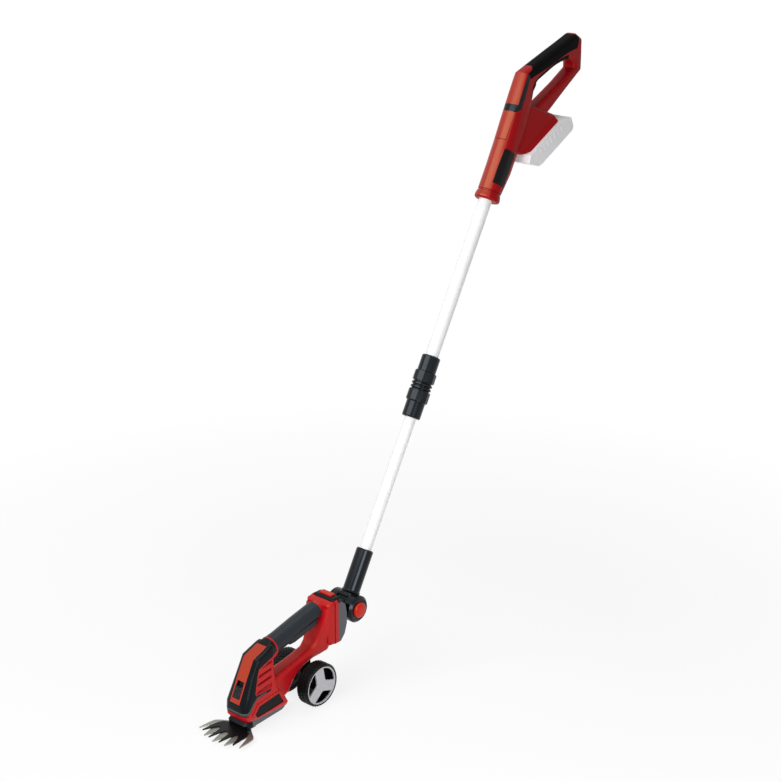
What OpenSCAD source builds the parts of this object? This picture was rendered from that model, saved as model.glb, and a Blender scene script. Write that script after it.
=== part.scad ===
// Cordless grass shears on a wheeled telescopic pole.
// X runs across the machine with its left side at +X, the blades point along -Y, and Z is up.
// The origin is on the ground below the middle of the wheel axle.

/* [Wheels] */
// Outside diameter of each wheel
wheel_d = 80; // [70:1:92]
// Width of each wheel
wheel_w = 27; // [22:0.5:32]
// Distance between the inner faces of the wheels
wheel_gap = 48; // [44:0.5:54]
// Diameter of the steel axle
axle_d = 8; // [6:0.5:10]
// Height of the tyre's side wall outside the cover
tyre_wall = 4.5; // [3:0.5:7]
// Width of the three spokes of the wheel cover
spoke_w = 17; // [12:0.5:20]
// Distance of the axle ahead of the head's datum
axle_ahead = 3.5; // [2:0.5:5]
// Height of the axle above the head's datum
axle_above = 1.7; // [0:0.1:3]

/* [Pole] */
// Lean of the pole from the vertical
pole_tilt = 29.6; // [20:0.2:40]
// Distance of the tilt pivot behind the head's datum
pivot_y = 115; // [113:0.5:120]
// Height of the tilt pivot above the head's datum
pivot_z = 99.4; // [96:0.2:103]
// Outside diameter of the upper tube
upper_tube_d = 25; // [24:0.2:27]
// Outside diameter of the lower tube
lower_tube_d = 22; // [20:0.2:22.4]
// Wall of the lower tube
lower_tube_wall = 1.2; // [0.8:0.1:2]
// Distance from the pivot to the mouth of the pole socket
socket_top = 106.5; // [90:0.5:130]
// Outside diameter of the pole socket
socket_d = 32; // [29:0.5:35]
// Distance from the pivot to the lower end of the twist clamp
clamp_bottom = 361; // [340:1:380]
// Distance from the pivot to the lower end of the handle
handle_start = 788; // [780:1:800]
// Way that the lower tube slides into the upper one
telescope_travel = 240; // [150:5:240]

/* [Tilt joint] */
// Diameter of the cheeks of the tilt joint
cheek_d = 50; // [46:0.5:54]
// Distance between the outer faces of the cheeks
cheek_span = 64; // [60:0.5:70]
// Width of the lug between the cheeks
lug_w = 25; // [20:0.5:30]
// Diameter of the lug's barrel
lug_d = 43; // [38:0.5:44]
// Diameter of the pivot pin
pivot_pin_d = 8; // [6:0.5:12]
// Diameter of the press buttons
button_d = 28.6; // [24:0.2:32]

/* [Shear head] */
// Half width of the nose
nose_hw = 25.5; // [24.5:0.25:27]
// Half width of the soft grip
grip_hw = 16.5; // [15:0.25:18]
// Half height of the soft grip
grip_hh = 17; // [15.5:0.25:18]
// Thickness of the soft grip's skin
grip_skin = 3; // [2:0.25:4]
// Depth of the hood and of the inlaid trim
skin = 2.4; // [1.5:0.1:3]
// Half width of the rear box
box_hw = 30; // [28:0.25:32]
// Half width of the lower bar
bar_hw = 16; // [14:0.25:18]
// Half width of the coloured strip on the nose
strip_hw = 11.7; // [11:0.1:12.5]

/* [Blades] */
// Distance between neighbouring comb tines
tine_pitch = 25; // [22:0.5:26]
// Thickness of each blade
blade_t = 2; // [1.5:0.1:2.4]
// Drop of the comb's underside below the head's datum
blade_drop = 32; // [31:0.25:33]
// Distance of the cutter's pivot ahead of the head's datum
cutter_pivot_y = 158; // [156:0.5:160]
// Throw of the crank that swings the cutter
crank_throw = 3; // [2:0.25:3.5]

/* [Gears] */
// Gear module
gear_module = 1; // [0.8:0.05:1.1]
// Teeth on the motor's pinion
pinion_teeth = 10; // [10:1:12]
// Teeth on the crank gear
crank_teeth = 30; // [26:1:32]

/* [Handle and battery] */
// Half width of the handle's neck
neck_hw = 21.5; // [20:0.25:23]
// Half width of the handle's loop
loop_hw = 16.5; // [15:0.25:18]
// Half width of the battery foot
foot_hw = 30; // [28:0.25:33]
// Half width of the battery
battery_hw = 37; // [34:0.25:40]
// Height of the battery below the foot
battery_h = 37; // [34:0.5:45]
// Diameter of one battery cell
cell_d = 18; // [14:0.5:18.5]

/* [Fits] */
// Radial clearance of a running fit
run_gap = 0.05; // [0.02:0.01:0.1]
// Clearance between sliding mouldings
slide_gap = 0.3; // [0.2:0.05:0.4]
// Clearance between pieces fixed to each other
seat_gap = 0.05; // [0.02:0.01:0.1]

/* [Hidden] */
$fn = 64;

// Steps along each rounded corner of a moulded section
corner_steps = 4;
// Reach of the cutting blocks past the parts that they trim
beyond = 400;

axle_z = wheel_d / 2;
red = "#b5121b";
charcoal = "#33363a";
black = "#17181a";

// Moulded forms. A section is [upper or outer point, lower or inner point, half width, corner radius],
// with a second corner radius for the lower or inner corners where they differ.
function ring(s, inset) =
    let (d = (s[0] - s[1]) / norm(s[0] - s[1]),
         h = norm(s[0] - s[1]) / 2 - inset,
         w = s[2] - inset,
         c = (s[0] + s[1]) / 2)
    [for (i = [0:3], k = [0:corner_steps])
        let (r = i > 1 && len(s) > 4 ? s[4] : s[3],
             q = min(r, w - 0.5, h - 0.5),
             t = 90 * (i + k / corner_steps),
             sx = i == 0 || i == 3 ? 1 : -1,
             sz = i < 2 ? 1 : -1,
             z = sz * (h - q) + q * sin(t))
        [sx * (w - q) + q * cos(t), c[0] + d[0] * z, c[1] + d[1] * z]];

function reversed(list) = [for (i = [len(list) - 1:-1:0]) list[i]];

// Skins a row of sections, drawn in by inset, and turns the rings so that the faces look outwards
module loft(sections, inset = 0) {
    raw = [for (s = sections) ring(s, inset)];
    m = len(raw[0]);
    last = len(raw) - 1;
    step = raw[1][0] + raw[1][m / 2] - raw[0][0] - raw[0][m / 2];
    facing = cross(raw[0][m / 4] - raw[0][0], raw[0][m / 2] - raw[0][0]) * step;
    rings = facing > 0 ? raw : [for (r = raw) reversed(r)];
    polyhedron(
        points = [for (r = rings) each r],
        faces = concat(
            [[for (j = [0:m - 1]) j]],
            [[for (j = [m - 1:-1:0]) last * m + j]],
            [for (i = [0:last - 1], j = [0:m - 1])
                [i * m + j, (i + 1) * m + j, (i + 1) * m + (j + 1) % m]],
            [for (i = [0:last - 1], j = [0:m - 1])
                [i * m + j, (i + 1) * m + (j + 1) % m, i * m + (j + 1) % m]]));
}

// A side outline in [y, z] pulled across the machine from x0 to x1
module side_prism(outline, x0, x1)
    translate([x0, 0, 0]) rotate([90, 0, 90]) linear_extrude(x1 - x0) polygon(outline);

// A cylinder across the machine from x0 to x1
module cross_rod(r, x0, x1, y = 0, z = 0)
    translate([x0, y, z]) rotate([0, 90, 0]) cylinder(r = r, h = x1 - x0);

// A block given by its low and high corners
module block(low, high) translate(low) cube(high - low);

// A block centred across the machine, from [y, z] to [y, z]
module wide_block(half_width, low, high)
    block([-half_width, low[0], low[1]], [half_width, high[0], high[1]]);

// The half space on one side of the parting plane
module left_half() block([0, -beyond, -beyond], [beyond, beyond, 4 * beyond]);
module right_half() mirror([1, 0, 0]) left_half();

module at_axle() translate([0, 0, axle_z]) children();
module at_head() translate([0, axle_ahead, axle_z - axle_above]) children();
module at_pole() at_head() translate([0, pivot_y, pivot_z]) rotate([-pole_tilt, 0, 0]) children();
module at_handle() at_pole() translate([0, 0, handle_start]) children();

// Shear head, in [y, z] from its datum.
// The nose is a stack of level sections from the sole up to the hood, each from its front to its back.
sole_front = [-161, -15.5];
sole_back = [-62, -18.5];
slope_foot = [-168.5, 18];
slope_top = [-132, 91.5];
nose_sections = [
    [sole_front, sole_back, nose_hw - 3, 9, 5],
    [[-168, -8], [-63, -12], nose_hw, 11, 5],
    [[-169, 4], [-68, -1], nose_hw + 0.3, 11.5, 5],
    [slope_foot, [-80, 15], nose_hw, 12, 5],
    [[-162, 32], [-88, 30], nose_hw - 1, 12, 5],
    [[-147.5, 62], [-90, 60], nose_hw - 4, 10, 5],
    [slope_top, [-90, 86], nose_hw - 4.5, 10, 5],
    [[-122, 95.3], [-89.5, 92], nose_hw - 4.8, 10, 4],
    [[-110, 99.8], [-89, 97.5], nose_hw - 5.2, 9.5, 4],
    [[-98, 104.3], [-88.5, 103], nose_hw - 7.5, 7, 3],
    [[-95, 105.4], [-88, 105.4], nose_hw - 9, 3, 1.5]];
// The trunk leaves the nose, runs back as the lower bar and turns up into the rear box
bar_sections = [
    [[-104, 26], [-66, -13], bar_hw, 9],
    [[-84, 37.5], [-50, -4], bar_hw + 1, 9],
    [[-60, 42.5], [-36, 15], bar_hw + 0.5, 9],
    [[-20, 50.5], [-12, 29.5], bar_hw, 9],
    [[5, 56.5], [14, 35.5], bar_hw, 9],
    [[16, 66], [30, 37], bar_hw + 1.5, 9],
    [[23, 82], [46, 40], bar_hw + 4, 9],
    [[28, 98], [54, 60], box_hw - 4, 8],
    [[33, 112], [54, 92], box_hw - 2, 7],
    [[37, 128], [54, 122], box_hw - 2, 6]];
box_front = 40;
box_back = 63;
box_top = 136.5;
box_bottom = 52;
groove_y = [52.8, 55.4];
groove_depth = 2.2;
function box_section(y, inset, r) = [[y, box_top - inset], [y, box_bottom + inset], box_hw - inset, r];
box_sections = [
    box_section(box_front, 4.5, 5),
    box_section(box_front + 4, 1.2, 5),
    box_section(groove_y[0], 0.7, 5),
    box_section(groove_y[0] + 0.3, groove_depth, 4),
    box_section(groove_y[1] - 0.3, groove_depth, 4),
    box_section(groove_y[1], 0, 5),
    box_section(box_back, 0, 5)];
// The upper bar rises to the rear, and the soft grip is its outside
bar_rise = 13.1;
grip_front = [-85.5, 92.2];
grip_length = 122;
function along_bar(s, up) = grip_front
    + s * [cos(bar_rise), sin(bar_rise)] + up * [-sin(bar_rise), cos(bar_rise)];
function grip_section(s, grow) =
    [along_bar(s, grip_hh + grow), along_bar(s, -grip_hh - grow), grip_hw + grow, 14];
// A thin rim parts the grip from the nose, whose hood closes round the grip's front end
rim_s = [5, 8];
grip_sections = [
    grip_section(rim_s[1] + seat_gap, 0), grip_section(25, -0.4),
    grip_section(70, 0.1), grip_section(grip_length, 0)];
core_sections = [grip_section(-8, 0), grip_section(grip_length + 10, 0)];
rim_sections = [grip_section(rim_s[0] - 1, 0.9), grip_section(rim_s[1], 0.5)];
function cap_section(s, up, hw, r) = [along_bar(s, up), along_bar(s, 1 - grip_hh), hw, r, 8];
cap_sections = [
    cap_section(-24, 12.5, nose_hw - 6, 9),
    cap_section(-10, 15.4, nose_hw - 6, 10),
    cap_section(-2, grip_hh - 0.4, grip_hw + 2, 12),
    cap_section(rim_s[0], grip_hh, grip_hw + 0.4, 14)];

// The trigger is the lower half of the bar behind its full front end, and swings on a pin in that end
split_up = -2.5;
trigger_pin = [33, -8];
trigger_pin_r = 2.5;
trigger_pin_reach = 9;
trigger_arm_hw = 4;
trigger_arm_h = 3.5;
trigger_start = 40;
trigger_end = 112;
trigger_swing = 2.2;
trigger_gap = 0.5;
function trigger_section(s, low, narrow) =
    let (top = split_up - trigger_gap - (s - trigger_start) * tan(trigger_swing))
    [along_bar(s, top), along_bar(s, low), grip_hw - narrow, 1.2, 12];
trigger_sections = [
    trigger_section(trigger_start, -grip_hh, 1),
    trigger_section(trigger_start + 10, -grip_hh - 2.3, 0.5),
    trigger_section(70, -grip_hh - 2.6, 0.4),
    trigger_section(trigger_end - 10, -grip_hh - 2, 0.5),
    trigger_section(trigger_end - 3, -grip_hh, 0.8),
    trigger_section(trigger_end, -grip_hh + 3.5, 2)];

// Side view of the dark hood: all that lies ahead of and above this line, with an arm below the ribs
hood_foot = -0.5;
hood_outline = [along_bar(rim_s[0], beyond / 4), along_bar(rim_s[0], -3), [-128, 75], [-141, 33.5],
    [-139, 29.8], [-103, 29.5], [-104, 26], [-138.5, 22.5], [-146, 15], [-154, 5], [-161, hood_foot],
    [-beyond, hood_foot], [-beyond, beyond]];
lip_z = hood_foot - 1.7;
lip_groove = [[-158, lip_z], [-161, hood_foot], [-beyond, hood_foot], [-beyond, lip_z]];
// Slope of the nose's front, from the foot of the strip to the bend
slope_angle = atan2(slope_top[1] - slope_foot[1], slope_top[0] - slope_foot[0]);
module on_slope() translate([0, slope_foot[0], slope_foot[1]]) rotate([slope_angle, 0, 0]) children();
slider_hw = 7.8;
slider_start = 10;
slider_length = 22;
slider_travel = 8;
slider_top = 1.6;
strip_outline = [[-beyond, 19], [-160, 19], [-126, 82], [-99, 97], [-99, beyond], [-beyond, beyond]];

// Bare name plate in a raised frame on the left of the nose, and the ribbed panel on both sides
badge_t = 1.6;
badge_outline = [[-138.5, -13], [-145.3, -3.5], [-134, 8.5], [-87.5, 14], [-76, -7.5]];
frame_rise = 1.2;
frame_outline = [[-141, -20], [-152, -4], [-137, 13.5], [-84.5, 18.5], [-66, -9.5], [-68, -20]];
rib_panel = [[-96, 83], [-126, 71.5], [-138.5, 32], [-102, 31.5]];
rib_count = 4;
rib_h = 8.8;
rib_pitch = 13.6;
rib_rise = 7;
rib_depth = 1.8;

// Sliding mount between the rear box and the adapter
tongue_hw = 20;
tongue_neck_hw = 16;
tongue_t = 4;
tongue_low = 60;
tongue_y = box_back - 2 * tongue_t;

motor_y = -112;
motor_r = 16;
motor_z = [22, 78];
motor_shaft_r = 1.5;
pinion_z = [10, 20];
crank_y = motor_y - gear_module * (pinion_teeth + crank_teeth) / 2 - 0.1;
crank_shaft_r = 3;
crank_pin_r = 2.2;
gear_plate_hw = nose_hw - 6.5;
gear_plate_y = [crank_y - 20, motor_y + 12];
gear_plate_z = [3, 7];
comb_z = -blade_drop;
cutter_z = comb_z + blade_t + 0.15;
carrier_z = cutter_z + blade_t + 0.35;
carrier_back = -148.3;
tail_y = crank_y + cutter_pivot_y;

module nose_body(inset = 0) loft(nose_sections, inset);

// Inside of the trim, which stops short of the nose's top so that the hood closes over it
module nose_inside(inset) loft([for (i = [0:len(nose_sections) - 2]) nose_sections[i]], inset);

module hood_zone() side_prism(hood_outline, -beyond, beyond);

module strip_zone(gap = 0) side_prism(strip_outline, -strip_hw + gap, strip_hw - gap);

// Skin of the nose that the hood, the strip and the groove below them take up
module trim_zone() {
    difference() {
        hood_zone();
        nose_inside(skin);
        loft(core_sections, grip_skin);
    }
    difference() {
        side_prism(lip_groove, -beyond, beyond);
        nose_body(skin / 2);
    }
}

module rib_field() difference() {
    side_prism(rib_panel, -beyond, beyond);
    nose_body(rib_depth);
    for (i = [0:rib_count - 1])
        translate([0, rib_panel[2][0], rib_panel[2][1] + 3 + i * rib_pitch])
            rotate([rib_rise, 0, 0])
                wide_block(beyond, [-beyond, 0], [beyond, rib_h]);
}

module badge_frame() intersection() {
    nose_body(-frame_rise);
    side_prism(frame_outline, nose_hw / 2, beyond);
}

// Room for the T-shaped tongue of the adapter, open at the top of the box
module tongue_slot() {
    low = tongue_low - slide_gap;
    back = tongue_y + tongue_t + slide_gap;
    wide_block(tongue_hw + slide_gap, [tongue_y - slide_gap, low], [back, beyond]);
    wide_block(tongue_neck_hw + slide_gap, [tongue_y, low], [beyond, beyond]);
}

module drive_room() {
    floor_z = gear_plate_z[1];
    translate([0, motor_y, motor_z[0]])
        cylinder(r = motor_r + seat_gap, h = motor_z[1] - motor_z[0] + seat_gap);
    translate([0, motor_y, floor_z])
        cylinder(r = gear_module * (pinion_teeth / 2 + 2), h = motor_z[0] - floor_z + 1);
    translate([0, crank_y, floor_z - 1])
        cylinder(r = gear_module * (crank_teeth / 2 + 2), h = pinion_z[1] - floor_z + 2);
    wide_block(gear_plate_hw + seat_gap,
        [gear_plate_y[0] - seat_gap, -beyond / 8], [gear_plate_y[1] + seat_gap, floor_z + seat_gap]);
}

// Frames of the upper bar and of the trigger's pin, with y along the bar
module on_bar() translate([0, grip_front[0], grip_front[1]]) rotate([bar_rise, 0, 0]) children();
module on_trigger() on_bar() translate([0, trigger_pin[0], trigger_pin[1]]) children();

// Room for the trigger from rest to its full pull
module trigger_room() {
    start = trigger_start - 0.8;
    on_bar() wide_block(beyond / 8, [start, -beyond / 8], [beyond, split_up]);
    on_trigger() {
        wide_block(trigger_arm_hw + slide_gap, [-trigger_arm_h - 1, -trigger_arm_h - 1],
            [start - trigger_pin[0] + 1, trigger_arm_h + 1]);
        cross_rod(trigger_pin_r + run_gap, -trigger_pin_reach - slide_gap, trigger_pin_reach + slide_gap);
    }
}

module switch_room(grow) wide_block(8 + grow, [-112 - grow, 80 - grow], [-95 + grow, 91 + grow]);

module contact_room(grow)
    wide_block(18 + grow, [box_front + 3 - grow, 70 - grow], [tongue_y - 1 + grow, 100 + grow]);

module head_shell() difference() {
    union() {
        nose_body();
        loft(cap_sections);
        badge_frame();
        loft(bar_sections);
        loft(box_sections);
        loft(rim_sections);
        difference() {
            loft(core_sections, grip_skin);
            trigger_room();
        }
    }
    trim_zone();
    rib_field();
    difference() {
        side_prism(badge_outline, nose_hw / 2, beyond);
        nose_body(badge_t + seat_gap);
    }
    tongue_slot();
    drive_room();
    slider_track();
    switch_room(0.1);
    contact_room(0.1);
    bracket_body(seat_gap);
}

module head_shell_left() color(red) at_head() intersection() {
    head_shell();
    left_half();
}

module head_shell_right() color(red) at_head() intersection() {
    head_shell();
    right_half();
}

module head_grip() color(charcoal) at_head() difference() {
    loft(grip_sections);
    loft(core_sections, grip_skin - seat_gap);
    trigger_room();
    loft(box_sections, -seat_gap);
    loft(bar_sections, -seat_gap);
    nose_body(-seat_gap);
}

module nose_hood() color(black) at_head() difference() {
    intersection() {
        union() {
            nose_body();
            loft(cap_sections);
        }
        hood_zone();
    }
    nose_inside(skin - seat_gap);
    loft(core_sections, grip_skin - seat_gap);
    strip_zone();
}

// Track of the release slider, cut through the strip
module slider_track() on_slope() wide_block(slider_hw + slide_gap,
    [slider_start - slide_gap, -skin - 1.5],
    [slider_start + slider_length + slider_travel + 2 * slide_gap, beyond / 8]);

module nose_strip() color("#d23a1c") at_head() difference() {
    intersection() {
        nose_body();
        hood_zone();
        strip_zone(seat_gap);
    }
    nose_inside(skin - seat_gap);
    slider_track();
}

module release_slider() color(charcoal) at_head() on_slope() {
    rib = 1.6;
    wide_block(slider_hw, [slider_start, -skin + slide_gap], [slider_start + slider_length, slider_top]);
    for (i = [0:5])
        translate([0, slider_start + 2.2 + i * (slider_length - 4) / 6, slider_top - rib])
            wide_block(slider_hw - 1.5, [0, 0], [rib, rib + 1]);
}

module head_badge() color(black) at_head() difference() {
    intersection() {
        nose_body(0.4);
        side_prism(badge_outline, nose_hw / 2, beyond);
    }
    nose_body(badge_t);
}

module base_plate() color("#4a4d50") at_head() difference() {
    share = (carrier_back + 0.3 - sole_front[0]) / (sole_back[0] - sole_front[0]);
    top = sole_front + share * (sole_back - sole_front) - [0, seat_gap];
    loft([
        [[top[0], comb_z + blade_t + seat_gap], [sole_back[0] - 4, -25.5], nose_hw - 5, 1, 10],
        [[top[0], -24], [sole_back[0] - 1, -22], nose_hw - 3.5, 1, 10],
        [top, sole_back - [0, seat_gap], nose_hw - 3, 1, 10]]);
    wide_block(arm_x[0], [-beyond, -beyond], [tail_y - cutter_pivot_y + 12, carrier_z + 1]);
    translate([0, crank_y, -beyond / 4]) cylinder(r = crank_throw + crank_pin_r + 6, h = beyond / 2);
}

module head_motor() color("silver") at_head() difference() {
    translate([0, motor_y, motor_z[0]]) cylinder(r = motor_r, h = motor_z[1] - motor_z[0]);
    translate([0, motor_y, motor_z[0] - 1]) cylinder(r = motor_shaft_r + run_gap, h = 12);
}

// Outline of a spur gear with straight flanks
module gear_outline(teeth, turn = 0) {
    pitch_angle = 360 / teeth;
    root = gear_module * (teeth / 2 - 1.3);
    tip = gear_module * (teeth / 2 + 0.85);
    polygon([for (i = [0:teeth - 1], c = [[root, -0.3], [tip, -0.11], [tip, 0.11], [root, 0.3]])
        let (t = turn + pitch_angle * (i + c[1])) c[0] * [cos(t), sin(t)]]);
}

module motor_pinion() color("goldenrod") at_head() translate([0, motor_y, 0]) {
    translate([0, 0, pinion_z[0]])
        linear_extrude(pinion_z[1] - pinion_z[0]) gear_outline(pinion_teeth, 270);
    translate([0, 0, pinion_z[1] - 0.5]) cylinder(r = motor_shaft_r, h = motor_z[0] + 9 - pinion_z[1]);
}

module crank_gear() color("gainsboro") at_head() translate([0, crank_y, 0]) {
    turn = 90 + 180 / crank_teeth;
    disc_bottom = -12;
    translate([0, 0, pinion_z[0] + 1.5]) linear_extrude(6) gear_outline(crank_teeth, turn);
    translate([0, 0, disc_bottom + 0.5]) cylinder(r = crank_shaft_r, h = pinion_z[0] + 2 - disc_bottom);
    translate([0, 0, disc_bottom]) cylinder(r = crank_throw + crank_pin_r + 1.5, h = 4);
    translate([crank_throw, 0, cutter_z]) cylinder(r = crank_pin_r, h = disc_bottom - cutter_z + 0.5);
}

module gear_plate() color("dimgray") at_head() difference() {
    wide_block(gear_plate_hw, [gear_plate_y[0], gear_plate_z[0]], [gear_plate_y[1], gear_plate_z[1]]);
    translate([0, crank_y, gear_plate_z[0] - 1]) cylinder(r = crank_shaft_r + run_gap, h = 10);
}

module head_switch() color("black") at_head() switch_room(0);

module head_contacts() color("goldenrod") at_head() contact_room(0);

module head_trigger() color(charcoal) at_head() {
    loft(trigger_sections);
    on_trigger() {
        cross_rod(trigger_pin_r, -trigger_pin_reach, trigger_pin_reach);
        wide_block(trigger_arm_hw, [-trigger_arm_h, -trigger_arm_h],
            [trigger_start - trigger_pin[0] + 1, trigger_arm_h]);
    }
}

// Blades, seen from above in [x, y]. The tips lie on an arc about the blade's root.
comb_reach = [64.5, 60.5, 48.5];
cutter_reach = [60.5, 51.5];
comb_notch = [24, 18];
cutter_notch = [28, 25, 17];
tip_w = 0.8;
blade_pin_r = 3;
pin_collar_r = 4;
// Reach of the comb's two arms, which are fixed below the sole's skirts, from the cutter's pivot
arm_x = [16.8, 20];
arm_y = [8, 20];
tail_hw = 12.5;
function mirrored(half) = concat(half, [for (p = reversed(half)) [-p[0], p[1]]]);

module comb_blade() color("#c9c6bb") at_head() translate([0, -cutter_pivot_y, comb_z]) difference() {
    linear_extrude(blade_t) polygon(mirrored([
        [tip_w, -comb_reach[0]], [tine_pitch / 2, -comb_notch[0]],
        [tine_pitch - tip_w, -comb_reach[1]], [tine_pitch + tip_w, -comb_reach[1]],
        [tine_pitch * 1.5, -comb_notch[1]],
        [tine_pitch * 2 - tip_w, -comb_reach[2]], [tine_pitch * 2 + tip_w, -comb_reach[2]],
        [tine_pitch * 2 + 0.3, -26], [tine_pitch * 2 - 1.5, -14], [tine_pitch * 2 - 7, -8],
        [tine_pitch + 3, 2], [arm_x[1], arm_y[0]], [arm_x[1], arm_y[1]]]));
    translate([0, 0, -1]) cylinder(r = blade_pin_r + seat_gap, h = blade_t + 2);
}

module cutter_blade() color(black) at_head() translate([0, -cutter_pivot_y, cutter_z]) difference() {
    linear_extrude(blade_t) polygon(mirrored([
        [0.01, -cutter_notch[0]], [tine_pitch * 0.18, -cutter_notch[0] - 0.8],
        [tine_pitch * 0.3, -cutter_notch[0] - 10],
        [tine_pitch / 2 - tip_w, -cutter_reach[0]], [tine_pitch / 2 + tip_w, -cutter_reach[0]],
        [tine_pitch * 0.64, -cutter_notch[1] - 13], [tine_pitch * 0.74, -cutter_notch[1] - 2],
        [tine_pitch * 0.94, -cutter_notch[1]], [tine_pitch * 1.16, -cutter_notch[1] - 8],
        [tine_pitch * 1.5 - tip_w, -cutter_reach[1]], [tine_pitch * 1.5 + tip_w, -cutter_reach[1]],
        [tine_pitch * 1.51, -cutter_notch[2] - 17], [tine_pitch * 1.42, -cutter_notch[2]],
        [tine_pitch * 1.24, -8], [tail_hw, 2],
        [tail_hw, tail_y + 9]]));
    translate([0, 0, -1]) cylinder(r = blade_pin_r + run_gap, h = blade_t + 2);
    translate([0, tail_y, -1]) cylinder(r = 2 * crank_throw + crank_pin_r + 1, h = blade_t + 2);
}

pin_rise = 6;

module blade_pin() color("silver") at_head() translate([0, -cutter_pivot_y, 0]) {
    translate([0, 0, comb_z]) cylinder(r = blade_pin_r, h = carrier_z - comb_z + 1);
    translate([0, 0, carrier_z]) cylinder(r = pin_collar_r, h = pin_rise);
}

// Carrier of the blades, below the nose's lip
module blade_holder() color(black) at_head() difference() {
    share = (carrier_back - sole_front[0]) / (sole_back[0] - sole_front[0]);
    top = sole_front + share * (sole_back - sole_front) - [0, seat_gap];
    loft([
        [[-164, carrier_z], [carrier_back, carrier_z], nose_hw - 1.5, 8, 1],
        [[-165.5, -21], [carrier_back, -21], nose_hw - 1, 9, 1],
        [sole_front + [0.5, -seat_gap], top, nose_hw - 3.5, 8, 1]]);
    translate([0, -cutter_pivot_y, carrier_z - 1])
        cylinder(r = pin_collar_r + seat_gap, h = pin_rise + 1.3);
}

module bracket_body(grow = 0) translate([0, -axle_ahead, axle_above]) {
    side = 13 + grow;
    foot = 9 + grow;
    side_prism([[-side, 36 + grow], [side, 44 + grow], [side, 20], [foot, 0], [-foot, 0], [-side, 20]],
        -10 - grow, 10 + grow);
}

module wheel_bracket() color(black) difference() {
    union() {
        at_head() bracket_body();
        at_axle() cross_rod(axle_d / 2 + 6, -wheel_gap / 2 + 0.3, wheel_gap / 2 - 0.3);
    }
    at_axle() cross_rod(axle_d / 2 + seat_gap, -wheel_gap, wheel_gap);
}

module wheel_axle() color("silver") at_axle()
    cross_rod(axle_d / 2, -wheel_gap / 2 - wheel_w + 6, wheel_gap / 2 + wheel_w - 6);

cover_r = wheel_d / 2 - tyre_wall;
cover_t = 4;
cover_rim = 3;
cover_inset = 1;
cover_seat = wheel_w - cover_t - cover_inset;
hub_r = axle_d / 2 + 8;
web_z = [2, 9];
spoke_turn = 70;

// One wheel standing on the origin's axis, inner face at z = 0
module wheel() difference() {
    edge = 3;
    tread_r = wheel_d / 2;
    bore_r = axle_d / 2 + run_gap;
    rim_r = cover_r - 3;
    rotate_extrude() polygon([
        [bore_r, 0], [hub_r, 0], [hub_r, web_z[0]], [rim_r, web_z[0]], [rim_r, 0],
        [tread_r - edge, 0], [tread_r, edge], [tread_r, wheel_w - edge], [tread_r - edge / 2, wheel_w],
        [cover_r + seat_gap, wheel_w], [cover_r + seat_gap, cover_seat], [rim_r, cover_seat],
        [rim_r, web_z[1]], [hub_r, web_z[1]], [hub_r, cover_seat], [bore_r, cover_seat]]);
    for (z = [wheel_w / 3, wheel_w * 2 / 3])
        translate([0, 0, z - 1])
            rotate_extrude() translate([tread_r - 1.2, 0]) square([3, 2]);
}

module wheel_cover() translate([0, 0, cover_seat]) difference() {
    cylinder(r = cover_r, h = cover_t);
    translate([0, 0, -1]) linear_extrude(cover_t + 2) difference() {
        circle(r = cover_r - cover_rim);
        for (i = [0:2])
            rotate(i * 120 + spoke_turn) translate([0, -spoke_w / 2]) square([cover_r, spoke_w]);
    }
}

module left_side() at_axle() translate([wheel_gap / 2, 0, 0]) rotate([0, 90, 0]) children();
module right_side() mirror([1, 0, 0]) left_side() children();

module left_wheel() color(black) left_side() wheel();
module left_wheel_cover() color("darkgray") left_side() wheel_cover();
module right_wheel() color(black) right_side() wheel();
module right_wheel_cover() color("darkgray") right_side() wheel_cover();

// Adapter between the shear head and the pole
adapter_front = box_back + slide_gap;
adapter_back = 80;
adapter_hw = 24;
adapter_low = box_bottom + 4;
cover_hw = 28.5;
cover_low = box_bottom + 1;
cover_high = box_top - 7.5;
ledge_z = box_top + slide_gap;
ledge_h = 3.2;
ledge_y = [box_back - 9.5, box_back + 10];
latch_size = [28, 11];
latch_y = box_back + 2.5;
latch_low = ledge_z - 4.5;
latch_travel = 2.5;

module latch_room(grow) wide_block(latch_size[0] / 2 + grow,
    [latch_y - latch_size[1] / 2 - grow, latch_low], [latch_y + latch_size[1] / 2 + grow, beyond]);

lug_rise = 16;
module lug(grow = 0) {
    wide_block(lug_w / 2 + grow,
        [adapter_back - 4, pivot_z - lug_rise - grow], [pivot_y, pivot_z + lug_rise + grow]);
    cross_rod(lug_d / 2 + grow, -lug_w / 2 - grow, lug_w / 2 + grow, pivot_y, pivot_z);
}

module adapter_body() color(black) at_head() difference() {
    top = ledge_z + 1;
    crest = ledge_z + ledge_h;
    union() {
        wide_block(adapter_hw, [adapter_front, adapter_low], [adapter_back, cover_high + 1]);
        wide_block(adapter_hw, [adapter_front, adapter_low], [ledge_y[1] - 2, top]);
        loft([
            [[ledge_y[0], ledge_z], [ledge_y[1], ledge_z], adapter_hw + 1, 3],
            [[ledge_y[0] + 1, ledge_z + 1.2], [ledge_y[1], ledge_z + 1.2], adapter_hw, 3],
            [[ledge_y[0] + 3, crest], [ledge_y[1] - 2, crest], adapter_hw - 4, 3]]);
        wide_block(tongue_neck_hw, [tongue_y + 1, tongue_low], [adapter_front + 1, top]);
        wide_block(tongue_hw, [tongue_y, tongue_low], [tongue_y + tongue_t, top]);
        lug();
    }
    latch_room(slide_gap);
    cross_rod(pivot_pin_d / 2 + run_gap, -lug_w, lug_w, pivot_y, pivot_z);
}

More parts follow.
